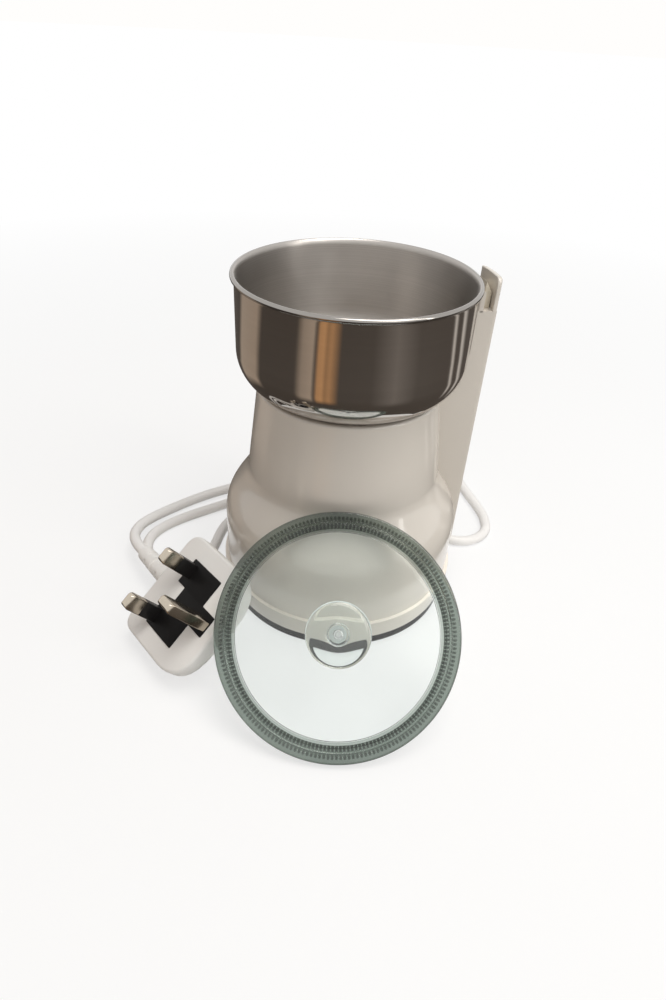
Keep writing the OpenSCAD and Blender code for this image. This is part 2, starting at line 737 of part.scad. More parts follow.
module switch_body() {
  color(black) at_switch() difference() {
    translate([-switch_l / 2, -switch_w / 2, 0]) cube([switch_l, switch_w, switch_h]);
    translate([0, 0, 0.8]) cylinder(r = plunger_r + 0.1, h = switch_h);
  }
}

module switch_plunger() {
  color([0.7, 0.2, 0.15]) at_switch() translate([0, 0, 1.2 + rod_travel])
    cylinder(r = plunger_r, h = switch_h + plunger_h - rod_travel - 1.2);
}

module switch_terminals() {
  color(brass) at_switch() for (x = [-1, 0, 1]) translate([x * (switch_l / 2 - 2.4) - 0.3, -0.8, -shelf_t - 3.2])
    cube([0.6, 1.6, shelf_t + 3.2]);
}

module cord_gland() {
  inner = sqrt(pow(drum_r - wall, 2) - pow(gland_r + 1.8, 2)) - 0.2;
  color(white) on_gland() {
    translate([0, 0, inner - 2]) cylinder(r = gland_r + 1.8, h = 2);
    translate([0, 0, inner - 0.5]) cylinder(r = gland_r, h = foot_r - inner + 1);
    translate([0, 0, foot_r + 0.2]) cylinder(r1 = gland_boot_r, r2 = lead_r + boot_wall, h = gland_end - foot_r - 0.2);
  }
}

module lid_cover() {
  color(clear) on_lid() rotate_extrude() difference() {
    union() {
      translate([0, lid_t - pane_t]) square([pane_r + 1, pane_t]);
      translate([pane_r, 0]) square([lid_r - pane_r, lid_t]);
      translate([lid_r - edge_w, 0]) square([edge_w, lid_t + edge_h]);
      translate([spigot_r - spigot_t, -spigot_d]) square([spigot_t, spigot_d + 1]);
    }
    translate([0, -1]) square([knob_screw_r + 0.1, lid_t + 2]);
  }
}

module lid_knob() {
  color(clear) on_lid() rotate_extrude() difference() {
    union() {
      translate([0, lid_t]) square([stem_r, stem_h + 1]);
      translate([0, knob_z]) square([knob_r, knob_h * 0.4]);
      intersection() {
        translate([0, knob_z + knob_h - dome_r]) circle(r = dome_r);
        translate([0, knob_z]) square([knob_r, knob_h]);
      }
    }
    translate([0, lid_t - 1]) square([knob_screw_r, stem_h + 3]);
  }
}

module knob_screw() {
  color(steel) on_lid() {
    translate([0, 0, lid_t - pane_t - 1.6]) cylinder(r = knob_screw_r + 1.6, h = 1.6);
    translate([0, 0, lid_t - pane_t]) cylinder(r = knob_screw_r, h = pane_t + stem_h + 1);
  }
}

module plug_outline(half, low, high, round_r) {
  translate([0, low + round_r]) {
    translate([-half, 0]) square([2 * half, high - low - 3 * round_r]);
    translate([-half + round_r, -round_r]) square([2 * half - 2 * round_r, high - low]);
    for (x = [-1, 1]) translate([x * (half - round_r), 0]) circle(r = round_r);
    for (x = [-1, 1]) translate([x * (half - 2 * round_r), high - low - 3 * round_r])
      intersection() {
        circle(r = 2 * round_r);
        translate([x < 0 ? -2 * round_r : 0, 0]) square(2 * round_r);
      }
  }
}

module pin_places() {
  for (x = [-1, 1]) translate([x * pin_pitch / 2, 0, 0]) children();
}

module insert_shape() {
  difference() {
    union() {
      translate([-insert_half, insert_y[0]]) square([2 * insert_half, insert_y[1] - insert_y[0]]);
      translate([-tab_half, insert_y[1] - 1]) square([2 * tab_half, tab_y - insert_y[1] + 1]);
    }
    translate([-tab_half, insert_y[0] - 1]) square([2 * tab_half, notch_y - insert_y[0] + 1]);
  }
}

module plug_body() {
  color(white) on_plug() difference() {
    hull() {
      translate([0, 0, -6]) linear_extrude(height = 6) plug_outline(plug_half, -13, 31, 6, $fn = 32);
      translate([0, 0, -plug_d]) linear_extrude(height = 2) plug_outline(plug_half - 7, -9, 24, 5, $fn = 32);
    }
    translate([0, 0, -insert_t]) linear_extrude(height = insert_t + 1) insert_shape();
    pin_places() translate([-core_w / 2, -core_t / 2, -pin_root]) cube([core_w, core_t, pin_root]);
    translate([-pin_t / 2, pin_pitch - earth_w / 2, -pin_root]) cube([pin_t, earth_w, pin_root]);
    translate([-fuse_l / 2, fuse_y, fuse_z]) rotate([0, 90, 0]) cylinder(r = fuse_r + 0.1, h = fuse_l);
    translate([0, -3, plug_end[2]]) rotate([90, 0, 0]) cylinder(r = boot_in_r, h = 20);
  }
}

module plug_insert() {
  color(black) on_plug() difference() {
    translate([0, 0, -insert_t]) linear_extrude(height = insert_t + insert_up) insert_shape();
    pin_places() translate([-core_w / 2, -core_t / 2, -insert_t - 1]) cube([core_w, core_t, insert_t + 2]);
    translate([-pin_t / 2, pin_pitch - earth_w / 2, -insert_t - 1]) cube([pin_t, earth_w, insert_t + 2]);
  }
}

module flat_pin() {
  translate([-core_w / 2, -core_t / 2, -pin_root]) cube([core_w, core_t, pin_root + sleeve_l]);
  translate([-pin_w / 2, -pin_t / 2, sleeve_l]) cube([pin_w, pin_t, pin_l - sleeve_l]);
}

module flat_sleeve() {
  difference() {
    translate([-pin_w / 2, -pin_t / 2, insert_up]) cube([pin_w, pin_t, sleeve_l - insert_up]);
    translate([-core_w / 2, -core_t / 2, 0]) cube([core_w, core_t, pin_l]);
  }
}

module live_pin() {
  color(brass) on_plug() translate([-pin_pitch / 2, 0, 0]) flat_pin();
}

module neutral_pin() {
  color(brass) on_plug() translate([pin_pitch / 2, 0, 0]) flat_pin();
}

module live_sleeve() {
  color(black) on_plug() translate([-pin_pitch / 2, 0, 0]) flat_sleeve();
}

module neutral_sleeve() {
  color(black) on_plug() translate([pin_pitch / 2, 0, 0]) flat_sleeve();
}

module earth_pin() {
  color(brass) on_plug() translate([-pin_t / 2, pin_pitch - earth_w / 2, -pin_root])
    cube([pin_t, earth_w, pin_root + earth_l]);
}

module plug_fuse() {
  color([0.75, 0.7, 0.62]) on_plug() translate([-fuse_l / 2, fuse_y, fuse_z]) rotate([0, 90, 0])
    cylinder(r = fuse_r, h = fuse_l);
}

module plug_boot() {
  color(white) on_plug() translate([0, plug_end[1], plug_end[2]]) rotate([-90, 0, 0]) {
    cylinder(r1 = lead_r + boot_wall, r2 = boot_in_r, h = plug_boot_l - 2);
    translate([0, 0, plug_boot_l - 2]) cylinder(r = boot_in_r, h = 6);
  }
}

module mains_lead() {
  sides = 8;
  points = [for (i = [0:ring_n - 1]) let (t = heading(i), u = across(i), v = cross(t, u)) for (k = [0:sides - 1])
    lead_line[i] + lead_r * (cos(360 / sides * k) * u + sin(360 / sides * k) * v)];
  around_faces = [for (i = [0:ring_n - 2]) for (k = [0:sides - 1]) let (a = i * sides + k,
    b = i * sides + (k + 1) % sides) each [[a, a + sides, b], [b, a + sides, b + sides]]];
  start_faces = [for (k = [1:sides - 2]) [0, k, k + 1]];
  last = (ring_n - 1) * sides;
  end_faces = [for (k = [1:sides - 2]) [last, last + k + 1, last + k]];
  color(white) polyhedron(points, concat(around_faces, start_faces, end_faces), convexity = 10);
}

module tie_shape(g) {
  for (x = [tie_from, tie_to]) translate([x, tie_z]) circle(r = lead_r + g);
  translate([tie_from, tie_z - lead_r - g]) square([tie_to - tie_from, lead_d + 2 * g]);
}

module cord_tie() {
  tail_from = tie_to + lead_r + tie_gap + tie_t / 2;
  color(white) rotate([0, 0, tie_turn]) {
    translate([0, tie_w / 2, 0]) rotate([90, 0, 0]) linear_extrude(height = tie_w) difference() {
      tie_shape(tie_gap + tie_t);
      tie_shape(tie_gap);
    }
    translate([tail_from, 0, tie_z]) rotate([0, 80, 14]) cylinder(r = 0.9, h = tail_l);
  }
}

base_pad();
base_plate();
base_screws();
body_shell();
switch_column();
column_screws();
bowl();
bearing_bush();
bush_nut();
lower_bearing();
lower_bracket();
bracket_dampers();
bracket_screws();
stator_core();
stator_coils();
stator_spacers();
stator_screws();
brush_holders();
carbon_brushes();
motor_shaft();
rotor_core();
rotor_windings();
commutator();
cooling_fan();
blade();
blade_nut();
switch_rod();
switch_body();
switch_plunger();
switch_terminals();
cord_gland();
lid_cover();
lid_knob();
knob_screw();
plug_body();
plug_insert();
live_pin();
neutral_pin();
earth_pin();
live_sleeve();
neutral_sleeve();
plug_fuse();
plug_boot();
mains_lead();
cord_tie();
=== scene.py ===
import math

import bmesh
import bpy
import numpy as np
from bpy.props import FloatProperty, FloatVectorProperty, IntProperty, PointerProperty
from mathutils import Matrix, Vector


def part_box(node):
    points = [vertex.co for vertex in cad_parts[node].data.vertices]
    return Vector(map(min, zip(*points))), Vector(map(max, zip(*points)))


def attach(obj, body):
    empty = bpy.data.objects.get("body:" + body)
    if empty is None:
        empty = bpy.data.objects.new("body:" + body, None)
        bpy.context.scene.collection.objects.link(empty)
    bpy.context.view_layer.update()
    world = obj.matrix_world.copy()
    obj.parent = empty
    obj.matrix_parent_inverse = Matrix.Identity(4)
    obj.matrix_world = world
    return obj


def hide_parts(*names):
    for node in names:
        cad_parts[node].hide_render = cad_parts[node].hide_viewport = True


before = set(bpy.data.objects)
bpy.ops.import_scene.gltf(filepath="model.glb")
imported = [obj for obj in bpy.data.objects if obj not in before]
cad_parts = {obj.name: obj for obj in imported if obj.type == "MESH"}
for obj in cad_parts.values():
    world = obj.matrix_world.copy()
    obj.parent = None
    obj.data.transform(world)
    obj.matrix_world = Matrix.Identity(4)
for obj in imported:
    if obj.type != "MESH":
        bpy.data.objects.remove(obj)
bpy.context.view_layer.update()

bl_info = {
    "name": "Coffee Grinder Dressing",
    "version": (1, 0, 0),
    "blender": (4, 5, 0),
    "location": "View3D > Sidebar > Grinder",
    "description": "Surfaces, finishes and stage of a small electric coffee grinder",
    "category": "Object",
}

# Lengths from here on are in millimetres, and the panel's sizes are in metres.
MM = 1000.0
RIM_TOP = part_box("bowl")[1].z * MM
BODY_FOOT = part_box("body_shell")[0].z * MM
COLUMN_FOOT, COLUMN_TOP = (corner.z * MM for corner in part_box("switch_column"))
SHOULDER_LOW, SHOULDER_TOP = 36.0, 62.0  # between them the drum narrows to the neck
NECK_TOP = 95.0
BOWL_DEPTH = 44.5
BLADE_LOW, BLADE_THICK = 102.42, 1.56
LID_FOOT = 106.71  # from the axis to the lid's lower edge
LEAD_ENTRY = np.array([0.0, -42.0, -11.5])  # where the lead enters the plug's boot, in the plug's own frame


# Sizes and colours

def length(name, description, default):
    """A length in metres that the panel shows in the scene's own units."""
    return FloatProperty(name=name, description=description, default=default, min=0.0, unit="LENGTH",
                         precision=4)


def tint(name, description, default):
    """A colour of one finish."""
    return FloatVectorProperty(name=name, description=description, default=default, size=3, min=0, max=1,
                               subtype="COLOR")


class GRINDER_BodySizes(bpy.types.PropertyGroup):
    """Sizes of the body, its column and its bowl."""

    foot_r: length("Foot radius", "Radius of the band at the foot of the body", 0.0526)
    drum_r: length("Drum radius", "Radius of the straight drum", 0.0512)
    neck_r: length("Neck radius", "Radius of the neck at its lower end", 0.0406)
    neck_top_r: length("Neck top radius", "Radius of the neck under the bowl", 0.0369)
    shell: length("Shell", "Thickness of the body's wall", 0.0024)
    bowl_r: length("Bowl radius", "Outer radius of the bowl's wall", 0.0446)
    bowl_t: length("Bowl sheet", "Thickness of the bowl's sheet", 0.0008)
    bowl_corner: length("Bowl corner", "Radius of the bowl's lower corner", 0.016)
    rim_r: length("Rim radius", "Outer radius of the rolled rim", 0.046)
    bead: length("Rim bead", "Radius of the roll itself", 0.001)
    column_r: length("Column radius", "Outer radius of the switch column", 0.055)
    vent_count: IntProperty(name="Air slots", description="Air slots in the back of the drum", default=5,
                            min=0, max=8)


class GRINDER_LidSizes(bpy.types.PropertyGroup):
    """Sizes of the lid and its knob."""

    lid_r: length("Lid radius", "Radius of the lid", 0.0455)
    pane_r: length("Pane radius", "Radius of the clear pane", 0.038)
    knob_r: length("Knob radius", "Radius of the knob", 0.012)
    rib_depth: length("Rib depth", "Depth of the fine ribs round the lid", 0.0006)
    rib_count: IntProperty(name="Ribs", description="Fine ribs round the lid", default=180, min=24, max=240)
    lean: FloatProperty(name="Lean", description="Lean of the lid from the table",
                        default=math.radians(43.6), min=0, max=math.pi / 2, subtype="ANGLE")


class GRINDER_LeadSizes(bpy.types.PropertyGroup):
    """Sizes of the mains lead."""

    lead_d: length("Lead diameter", "Diameter of the mains lead", 0.005)
    boot_wall: length("Boot wall", "Wall of a boot at its thin end", 0.0011)


class GRINDER_Colours(bpy.types.PropertyGroup):
    """Colours of the finishes."""

    body_white: tint("Body white", "Glossy plastic of the body and the column", (0.69, 0.645, 0.585))
    plug_white: tint("Plug white", "Moulded plastic of the plug and its boots", (0.88, 0.87, 0.85))
    lead_white: tint("Lead white", "Sheath of the mains lead", (0.90, 0.89, 0.88))
    steel: tint("Bowl steel", "Polished sheet of the bowl", (0.56, 0.53, 0.50))
    clear: tint("Lid tint", "Clear plastic of the lid's pane and knob", (0.94, 0.975, 0.96))
    edge: tint("Lid edge tint", "Clear plastic seen through the lid's thick edge", (0.105, 0.126, 0.110))
    black: tint("Black", "Black plastic of the base and the plug", (0.009, 0.0085, 0.0085))
    rod_cream: tint("Rod cream", "Plastic of the switch rod", (0.66, 0.60, 0.49))
    pin_metal: tint("Pin metal", "Plated metal of the plug's pins", (0.56, 0.50, 0.415))


# Surfaces

join = np.concatenate  # arrays end to end


def sweep(first, last, count):
    """Angles from the first to the last, given in degrees."""
    return np.radians(np.linspace(first, last, count))


def clamp(value):
    """A value kept between 0 and 1."""
    return np.clip(value, 0, 1)


def grid_faces(rows, cols, close_rows, close_cols):
    """Quads between neighbours of a rows by cols grid: point (i, j), (i, j+1), (i+1, j+1), (i+1, j)."""
    i = np.arange(rows if close_rows else rows - 1)[:, None]
    j = np.arange(cols if close_cols else cols - 1)[None, :]
    i2, j2 = (i + 1) % rows, (j + 1) % cols
    corners = np.broadcast_arrays(i * cols + j, i * cols + j2, i2 * cols + j2, i2 * cols + j)
    return np.stack(corners, -1).reshape(-1, 4)


def soften(points, cuts, steps=5):
    """A closed outline whose corners become curves: from a cut before corner P to a cut after it,
    (1-s)^2 A + 2 s (1-s) P + s^2 B with s from 0 to 1. A corner with no cut stays one point. Points may be
    many outlines at once."""
    p = np.asarray(points, float)
    cut = np.broadcast_to(np.asarray(cuts, float), p.shape[-2:-1])[:, None]

    def cut_towards(neighbour):
        way = neighbour - p
        size = np.linalg.norm(way, axis=-1, keepdims=True)
        return p + way / np.maximum(size, 1e-9) * np.minimum(cut, 0.49 * size)

    a, b = cut_towards(np.roll(p, 1, -2)), cut_towards(np.roll(p, -1, -2))
    s = np.linspace(0, 1, steps)[:, None]
    curve = (1 - s) ** 2 * a[..., None, :] + 2 * s * (1 - s) * p[..., None, :] + s ** 2 * b[..., None, :]
    keep = (cut > 0) | (np.arange(steps)[None] == 0)
    return curve[..., keep, :]


def inset(outline, depth):
    """A closed flat outline moved inwards along its normals, which are its tangents turned a quarter."""
    t = np.roll(outline, -1, -2) - np.roll(outline, 1, -2)
    t /= np.maximum(np.linalg.norm(t, axis=-1, keepdims=True), 1e-9)
    return outline + depth * np.stack([-t[..., 1], t[..., 0]], -1)


def arc(cx, cy, r, first, last, count):
    """Points of a circle about (cx, cy) from the first to the last angle in degrees."""
    a = sweep(first, last, count)
    return np.stack([cx + r * np.cos(a), cy + r * np.sin(a)], -1)


def bends(points, counts):
    """A chain of curves (1-s)^2 a + 2 s (1-s) b + s^2 c with s from 0 to 1: a and c are the even points, b the
    odd point between them, and each curve has its own count of steps."""
    p = np.array(points, float)

    def curve(k, count):
        s = np.linspace(0, 1, count)[:, None]
        return (1 - s) ** 2 * p[2 * k] + 2 * s * (1 - s) * p[2 * k + 1] + s ** 2 * p[2 * k + 2]

    return join([curve(k, count) for k, count in enumerate(counts)])


def round_z(r, angle, z):
    """Points at a distance r from Z and an angle a round it: x = r cos a, y = r sin a, z = z."""
    return np.stack(np.broadcast_arrays(r * np.cos(angle), r * np.sin(angle), z), -1)


def lathe(profile, angles):
    """A profile of (r, z) carried round Z through the angles."""
    r, z = np.asarray(profile, float).T
    return round_z(r[:, None], angles, z[:, None])


def full_turn(columns):
    """Angles of evenly spaced columns round a full turn."""
    return np.arange(columns) * (2 * math.pi / columns)


def stack(outlines, heights):
    """Flat outlines set at heights, as rows of one grid."""
    z = np.broadcast_to(np.asarray(heights, float)[:, None, None], (*outlines.shape[:2], 1))
    return join([outlines, z], -1)


def blunt(outline, heights, takes):
    """An outline at several heights, moved inwards by a depth at each."""
    return stack(np.stack([inset(outline, t) for t in takes]), heights)


def spline(points, per):
    """A uniform cubic B-spline along a chain of points, with per steps in each span. It starts and ends at the
    chain's ends."""
    p = np.asarray(points, float)
    p = join([[2 * p[0] - p[1]], p, [2 * p[-1] - p[-2]]])
    t = (np.arange(per) / per)[None, :, None]
    a, b, c, d = (p[k:len(p) - 3 + k, None] for k in range(4))
    q = ((1 - t) ** 3 * a + (3 * t ** 3 - 6 * t ** 2 + 4) * b
         + (-3 * t ** 3 + 3 * t ** 2 + 3 * t + 1) * c + t ** 3 * d) / 6
    return join([q.reshape(-1, 3), p[-2:-1]])


def tube(line, radius, sides):
    """A circle carried along a line: line + radius (cos a u + sin a v), with u level and square to the line's
    direction t, and v = t x u."""
    t = np.gradient(line, axis=0)
    t /= np.linalg.norm(t, axis=1, keepdims=True)
    u = np.cross([0.0, 0.0, 1.0], t)
    u /= np.linalg.norm(u, axis=1, keepdims=True)
    v = np.cross(t, u)
    a = full_turn(sides)[None, :, None]
    return line[:, None] + radius * (np.cos(a) * u[:, None] + np.sin(a) * v[:, None])


def turned(axis, degrees):
    """A turn about one axis as a 3 by 3 matrix."""
    return np.array(Matrix.Rotation(math.radians(degrees), 3, axis))


def on_lid(points):
    """Points of the lid in its own frame, leaned on the body: turned about X, set down, turned about Z."""
    lid = bpy.context.scene.grinder_lid
    lean, r = lid.lean, lid.lid_r * MM
    y = r * math.cos(lean) - LID_FOOT
    q = points @ turned("X", math.degrees(lean)).T + np.array([0.0, y, r * math.sin(lean)])
    return q @ turned("Z", 0.5).T


def on_plug(points):
    """Points of the plug in its own frame, set where the lead ends."""
    turn = turned("Z", -136.3) @ turned("Y", 37.3) @ turned("X", 4.4)
    return (points - LEAD_ENTRY) @ turn.T + LEAD[-1]


def on_gland(points):
    """Points of the gland in its own frame: Z runs outwards along the lead's first direction."""
    turn = turned("Z", math.degrees(math.atan2(LEAD[0][1], LEAD[0][0]))) @ turned("Y", 90)
    return points @ turn.T + np.array([0.0, 0.0, LEAD[0][2]])


def make_piece(node, slot, finishes, *grids, name=None, body="housing", sharp=32, outward=True, marks=None):
    """One mesh in place of a node, from grids of points in millimetres. Each grid is (points, close rows, close
    columns, cap first row, cap last row, index of its finish for each row). Doubles are merged, faces point
    outwards and edges over the sharp angle stay crisp. Marks are one number for each point, for a finish to read."""
    name = name or node + "_skin"
    points, faces, kinds, base = [], [], [], 0
    for grid, close_rows, close_cols, cap_first, cap_last, kind in grids:
        rows, cols = grid.shape[:2]
        quads = grid_faces(rows, cols, close_rows, close_cols) + base
        per_row = cols if close_cols else cols - 1
        row_kind = np.broadcast_to(np.asarray(kind), (rows if close_rows else rows - 1,))
        faces += quads.tolist()
        kinds += np.repeat(row_kind, per_row).tolist()
        for wanted, row in ((cap_first, 0), (cap_last, rows - 1)):
            if wanted:
                faces.append((base + row * cols + np.arange(cols)).tolist())
                kinds.append(int(row_kind[0 if row == 0 else -1]))
        points.append(grid.reshape(-1, 3))
        base += rows * cols
    mesh = bpy.data.meshes.new(name)
    mesh.from_pydata((join(points) / MM).tolist(), [], faces)
    mesh.polygons.foreach_set("material_index", np.array(kinds, np.int32))
    # Marks carry the lid's painted shade for its edge finish to read.
    if marks is not None:
        layer = mesh.attributes.new("marks", "FLOAT", "POINT")
        layer.data.foreach_set("value", marks.ravel().astype(np.float32))
    work = bmesh.new()
    work.from_mesh(mesh)
    bmesh.ops.remove_doubles(work, verts=work.verts, dist=2e-6)
    if outward:
        bmesh.ops.recalc_face_normals(work, faces=work.faces)
    work.to_mesh(mesh)
    work.free()
    mesh.shade_smooth()
    mesh.set_sharp_from_angle(angle=math.radians(sharp))
    piece = bpy.data.objects.new(name, mesh)
    bpy.context.scene.collection.objects.link(piece)
    for finish in finishes.split():
        mesh.materials.append(FINISH[finish])
    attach(piece, body)
    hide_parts(node)
    return piece


def closed(points, kind=0):
    """A grid that closes both ways, such as a loop carried round an axis."""
    return points, True, True, False, False, kind


def capped(points, kind=0):
    """A grid of closed rows with a flat face on its first and last row."""
    return points, False, True, True, True, kind


def poled(points, kind=0):
    """A grid of closed rows with no faces on its ends, which shrink to a point or stay open."""
    return points, False, True, False, False, kind


# Route of the mains lead, in millimetres

LEAD = np.array([
    [24, 73, 12], [29, 88, 12], [39.5, 100.5, 7], [56.5, 100.5, 2.5], [67.5, 87.5, 2.5], [70, 69, 2.5],
    [77, 51, 2.5], [80.5, 31, 2.5], [69, 19.5, 2.5], [54.5, 20.5, 2.5], [45, 32, 2.5], [38.5, 48.5, 2.5],
    [22, 57, 2.5], [3, 60, 2.5], [-16, 58, 3], [-33, 49, 4], [-49, 36, 3], [-60, 20, 2.5], [-59, -2.5, 2.5],
    [-74, -12.5, 2.5], [-89.5, -7.5, 2.5], [-95.5, 9.5, 2.5], [-82.5, 25, 2.5], [-63, 37, 3], [-45, 49, 4],
    [-27, 59, 3.5], [-8.5, 68, 2.5], [11.5, 71.5, 2.5], [23.5, 85.5, 2.5], [19, 105, 2.5], [2.5, 114, 2.5],
    [-17.5, 113, 2.5], [-33, 101.5, 2.5], [-37, 83, 2.5], [-38, 64.5, 3.5], [-56, 55, 4], [-73, 46, 3],
    [-89, 32, 2.5], [-99.5, 15, 6], [-97.5, -3, 11.5], [-88, -14, 12.5]], float)


# Finishes

class Nodes:
    """The nodes of a material or of the world."""

    def __init__(self, tree):
        """The nodes of one tree."""
        self.tree = tree

    def link(self, out, into):
        """Join an output to an input."""
        self.tree.links.new(out, into)

    def node(self, kind, links=None, operation=None, **values):
        """A new node, with outputs linked to its inputs and values set on them."""
        node = self.tree.nodes.new("ShaderNode" + kind)
        if operation:
            node.operation = operation
        for name, value in values.items():
            node.inputs[name.replace("_", " ")].default_value = value
        for name, out in (links or {}).items():
            self.link(out, node.inputs[name])
        return node

    def away(self, out):
        """The length of a vector."""
        return self.node("VectorMath", {0: out}, "LENGTH").outputs["Value"]

    def spread(self, value, low, high, start=0.3, end=0.7):
        """A value from start to end taken to low to high."""
        node = self.node("MapRange", {"Value": value}, From_Min=start, From_Max=end, To_Min=low, To_Max=high)
        return node.outputs["Result"]

    def seen(self):
        """1 for rays from the camera, off metal or through glass, which see the plain white background."""
        path = self.node("LightPath")
        out = path.outputs["Is Camera Ray"]
        for name in ("Is Glossy Ray", "Is Transmission Ray"):
            out = self.node("Math", {0: out, 1: path.outputs[name]}, "MAXIMUM").outputs[0]
        return out


class Finish(Nodes):
    """A node material: textures on Object coordinates that drive colour, roughness and bump of one shader."""

    def __init__(self, name):
        """A material with one Principled shader and Object coordinates to place textures."""
        self.material = bpy.data.materials.new(name)
        self.material.use_nodes = True
        super().__init__(self.material.node_tree)
        self.shader = self.tree.nodes["Principled BSDF"]
        self.place = self.node("TexCoord").outputs["Object"]

    def mapped(self, scale):
        """Object coordinates stretched by a scale on each axis."""
        return self.node("Mapping", {"Vector": self.place}, Scale=scale).outputs["Vector"]

    def turned_lines(self, density):
        """Coordinates (distance from the axis, 0, height) times a density, for marks that run round the axis."""
        split = self.node("SeparateXYZ", {0: self.place})
        flat = self.node("CombineXYZ", {axis: split.outputs[axis] for axis in "XY"})
        both = self.node("CombineXYZ", {"X": self.away(flat.outputs[0]), "Z": split.outputs["Z"]})
        return self.node("VectorMath", {0: both.outputs[0]}, "SCALE", Scale=density).outputs["Vector"]

    def round_axis(self):
        """The direction (-y, x, 0), which runs round the axis."""
        node = self.node("VectorRotate", {"Vector": self.mapped((1, 1, 0))}, Angle=math.pi / 2)
        node.rotation_type = "Z_AXIS"
        return node.outputs["Vector"]

    def noise(self, vector, scale, detail=4.0, rough=0.55):
        """Noise of a scale with octaves of detail, each octave rough times as strong as the one before."""
        node = self.node("TexNoise", {"Vector": vector}, Scale=scale, Detail=detail, Roughness=rough)
        return node.outputs["Fac"]

    def bands(self, scale, distortion=0.0):
        """Waves across the height."""
        node = self.node("TexWave", {"Vector": self.place}, Scale=scale, Distortion=distortion)
        node.bands_direction = "Z"
        return node.outputs["Fac"]

    def colours(self, value, stops):
        """A value turned into a colour through stops of (place, colour)."""
        node = self.node("ValToRGB", {"Fac": value})
        ramp = node.color_ramp
        while len(ramp.elements) < len(stops):
            ramp.elements.new(0.5)
        for element, (place, colour) in zip(ramp.elements, stops):
            element.position = place
            element.color = (*colour, 1.0)
        return node.outputs["Color"]

    def paint(self, value, stops, colour=None):
        """The shader's colour, from a value through stops of (place, colour), or of (place, factor) on one colour."""
        if colour is not None:
            stops = [(place, shade(colour, factor)) for place, factor in stops]
        self.link(self.colours(value, stops), self.shader.inputs["Base Color"])

    def gloss(self, value, low, high):
        """The shader's roughness, from low to high with a value."""
        self.link(self.spread(value, low, high), self.shader.inputs["Roughness"])

    def bump(self, value, distance, strength=1.0):
        """The shader's bump, with a value as its height."""
        node = self.node("Bump", {"Height": value}, Strength=strength, Distance=distance)
        self.link(node.outputs["Normal"], self.shader.inputs["Normal"])

    def set(self, **values):
        """Plain values on the shader's inputs."""
        for name, value in values.items():
            self.shader.inputs[name.replace("_", " ")].default_value = value


def shade(colour, factor):
    """A colour made lighter or darker."""
    return tuple(min(1.0, c * factor) for c in colour)


def moulded(name, colour, rough, grain, depth, vary=0.05, coat=0.0, shine=0.5):
    """Moulded plastic: slow shifts of tone, a roughness that wanders, and a fine skin of bumps."""
    f = Finish(name)
    f.paint(f.noise(f.place, 28, 3), [(0.25, 1 - vary), (0.75, 1 + vary)], colour)
    f.gloss(f.noise(f.place, 160, 5), rough * 0.8, rough * 1.25)
    f.bump(f.noise(f.place, grain, 3), depth, 0.5)
    f.set(Coat_Weight=coat, Coat_Roughness=0.06, Specular_IOR_Level=shine)
    return f.material


def turned_metal(name, colour, rough, density, depth, vary=0.12, brushed=0.0):
    """Metal with fine marks that run round the axis, in tone, roughness and bump. A brushed one draws its
    highlights out across the marks."""
    f = Finish(name)
    lines = f.noise(f.turned_lines(density), 1.0, 6, 0.7)
    f.paint(lines, [(0.25, 1 - vary), (0.75, 1 + vary)], colour)
    f.gloss(f.noise(f.place, 55, 4), rough * 0.92, rough * 1.1)
    f.bump(lines, depth, 0.4)
    f.link(f.round_axis(), f.shader.inputs["Tangent"])
    f.set(Metallic=1.0, Anisotropic=brushed, Anisotropic_Rotation=0.25)
    return f.material


def worked_metal(name, colour, rough, stretch, depth, vary=0.15):
    """Metal with scratches along one direction and worn, uneven gloss."""
    f = Finish(name)
    marks = f.noise(f.mapped(stretch), 900, 4, 0.6)
    f.paint(marks, [(0.2, 1 - vary), (0.8, 1 + vary)], colour)
    f.gloss(f.noise(f.place, 220, 3), rough * 0.88, rough * 1.2)
    f.bump(marks, depth, 0.3)
    f.set(Metallic=1.0)
    return f.material


def clear_plastic(name, colour):
    """Clear tinted plastic: light passes through, with faint scratches in its gloss and a skin not quite flat."""
    f = Finish(name)
    f.paint(f.noise(f.place, 18, 2), [(0.3, 0.97), (0.7, 1.02)], colour)
    f.gloss(f.noise(f.place, 420, 5, 0.7), 0.015, 0.06)
    f.bump(f.noise(f.place, 90, 2), 0.00002, 0.25)
    f.set(Transmission_Weight=1.0, IOR=1.49)
    return f.material


def ribbed_plastic(name, colour):
    """Clear tinted plastic of the lid's thick edge: its marks are painted shade, darker in the gaps between the ribs,
    on the outer edge and along the groove.
    """
    f = Finish(name)
    painted_rib_shade = f.node("Attribute")
    painted_rib_shade.attribute_name = "marks"
    f.paint(painted_rib_shade.outputs["Fac"], [(0.0, 2.4), (0.3, 1.0), (1.0, 0.2)], colour)
    f.gloss(f.noise(f.place, 300, 4), 0.03, 0.1)
    f.bump(f.noise(f.place, 90, 2), 0.00002, 0.25)
    f.set(Transmission_Weight=1.0, IOR=1.49, Coat_Weight=0.25, Coat_Roughness=0.05)
    return f.material


def wound_copper(name, colour):
    """Winding wire: close turns across the height, in bump, and in tone that is darker between turns as painted shade.
    """
    f = Finish(name)
    wire = f.bands(420, 1.5)
    f.paint(wire, [(0.1, 0.45), (0.8, 1.15)], colour)
    f.bump(wire, 0.0002, 0.6)
    f.set(Metallic=0.85, Roughness=0.32)
    return f.material


def laminated(name, colour):
    """Stacked steel sheets: thin bands across the height."""
    f = Finish(name)
    sheets = f.bands(300)
    f.paint(sheets, [(0.1, 0.55), (0.7, 1.1)], colour)
    f.gloss(f.noise(f.place, 200, 4), 0.32, 0.55)
    f.bump(sheets, 0.0001, 0.5)
    f.set(Metallic=1.0)
    return f.material


FINISH = {}


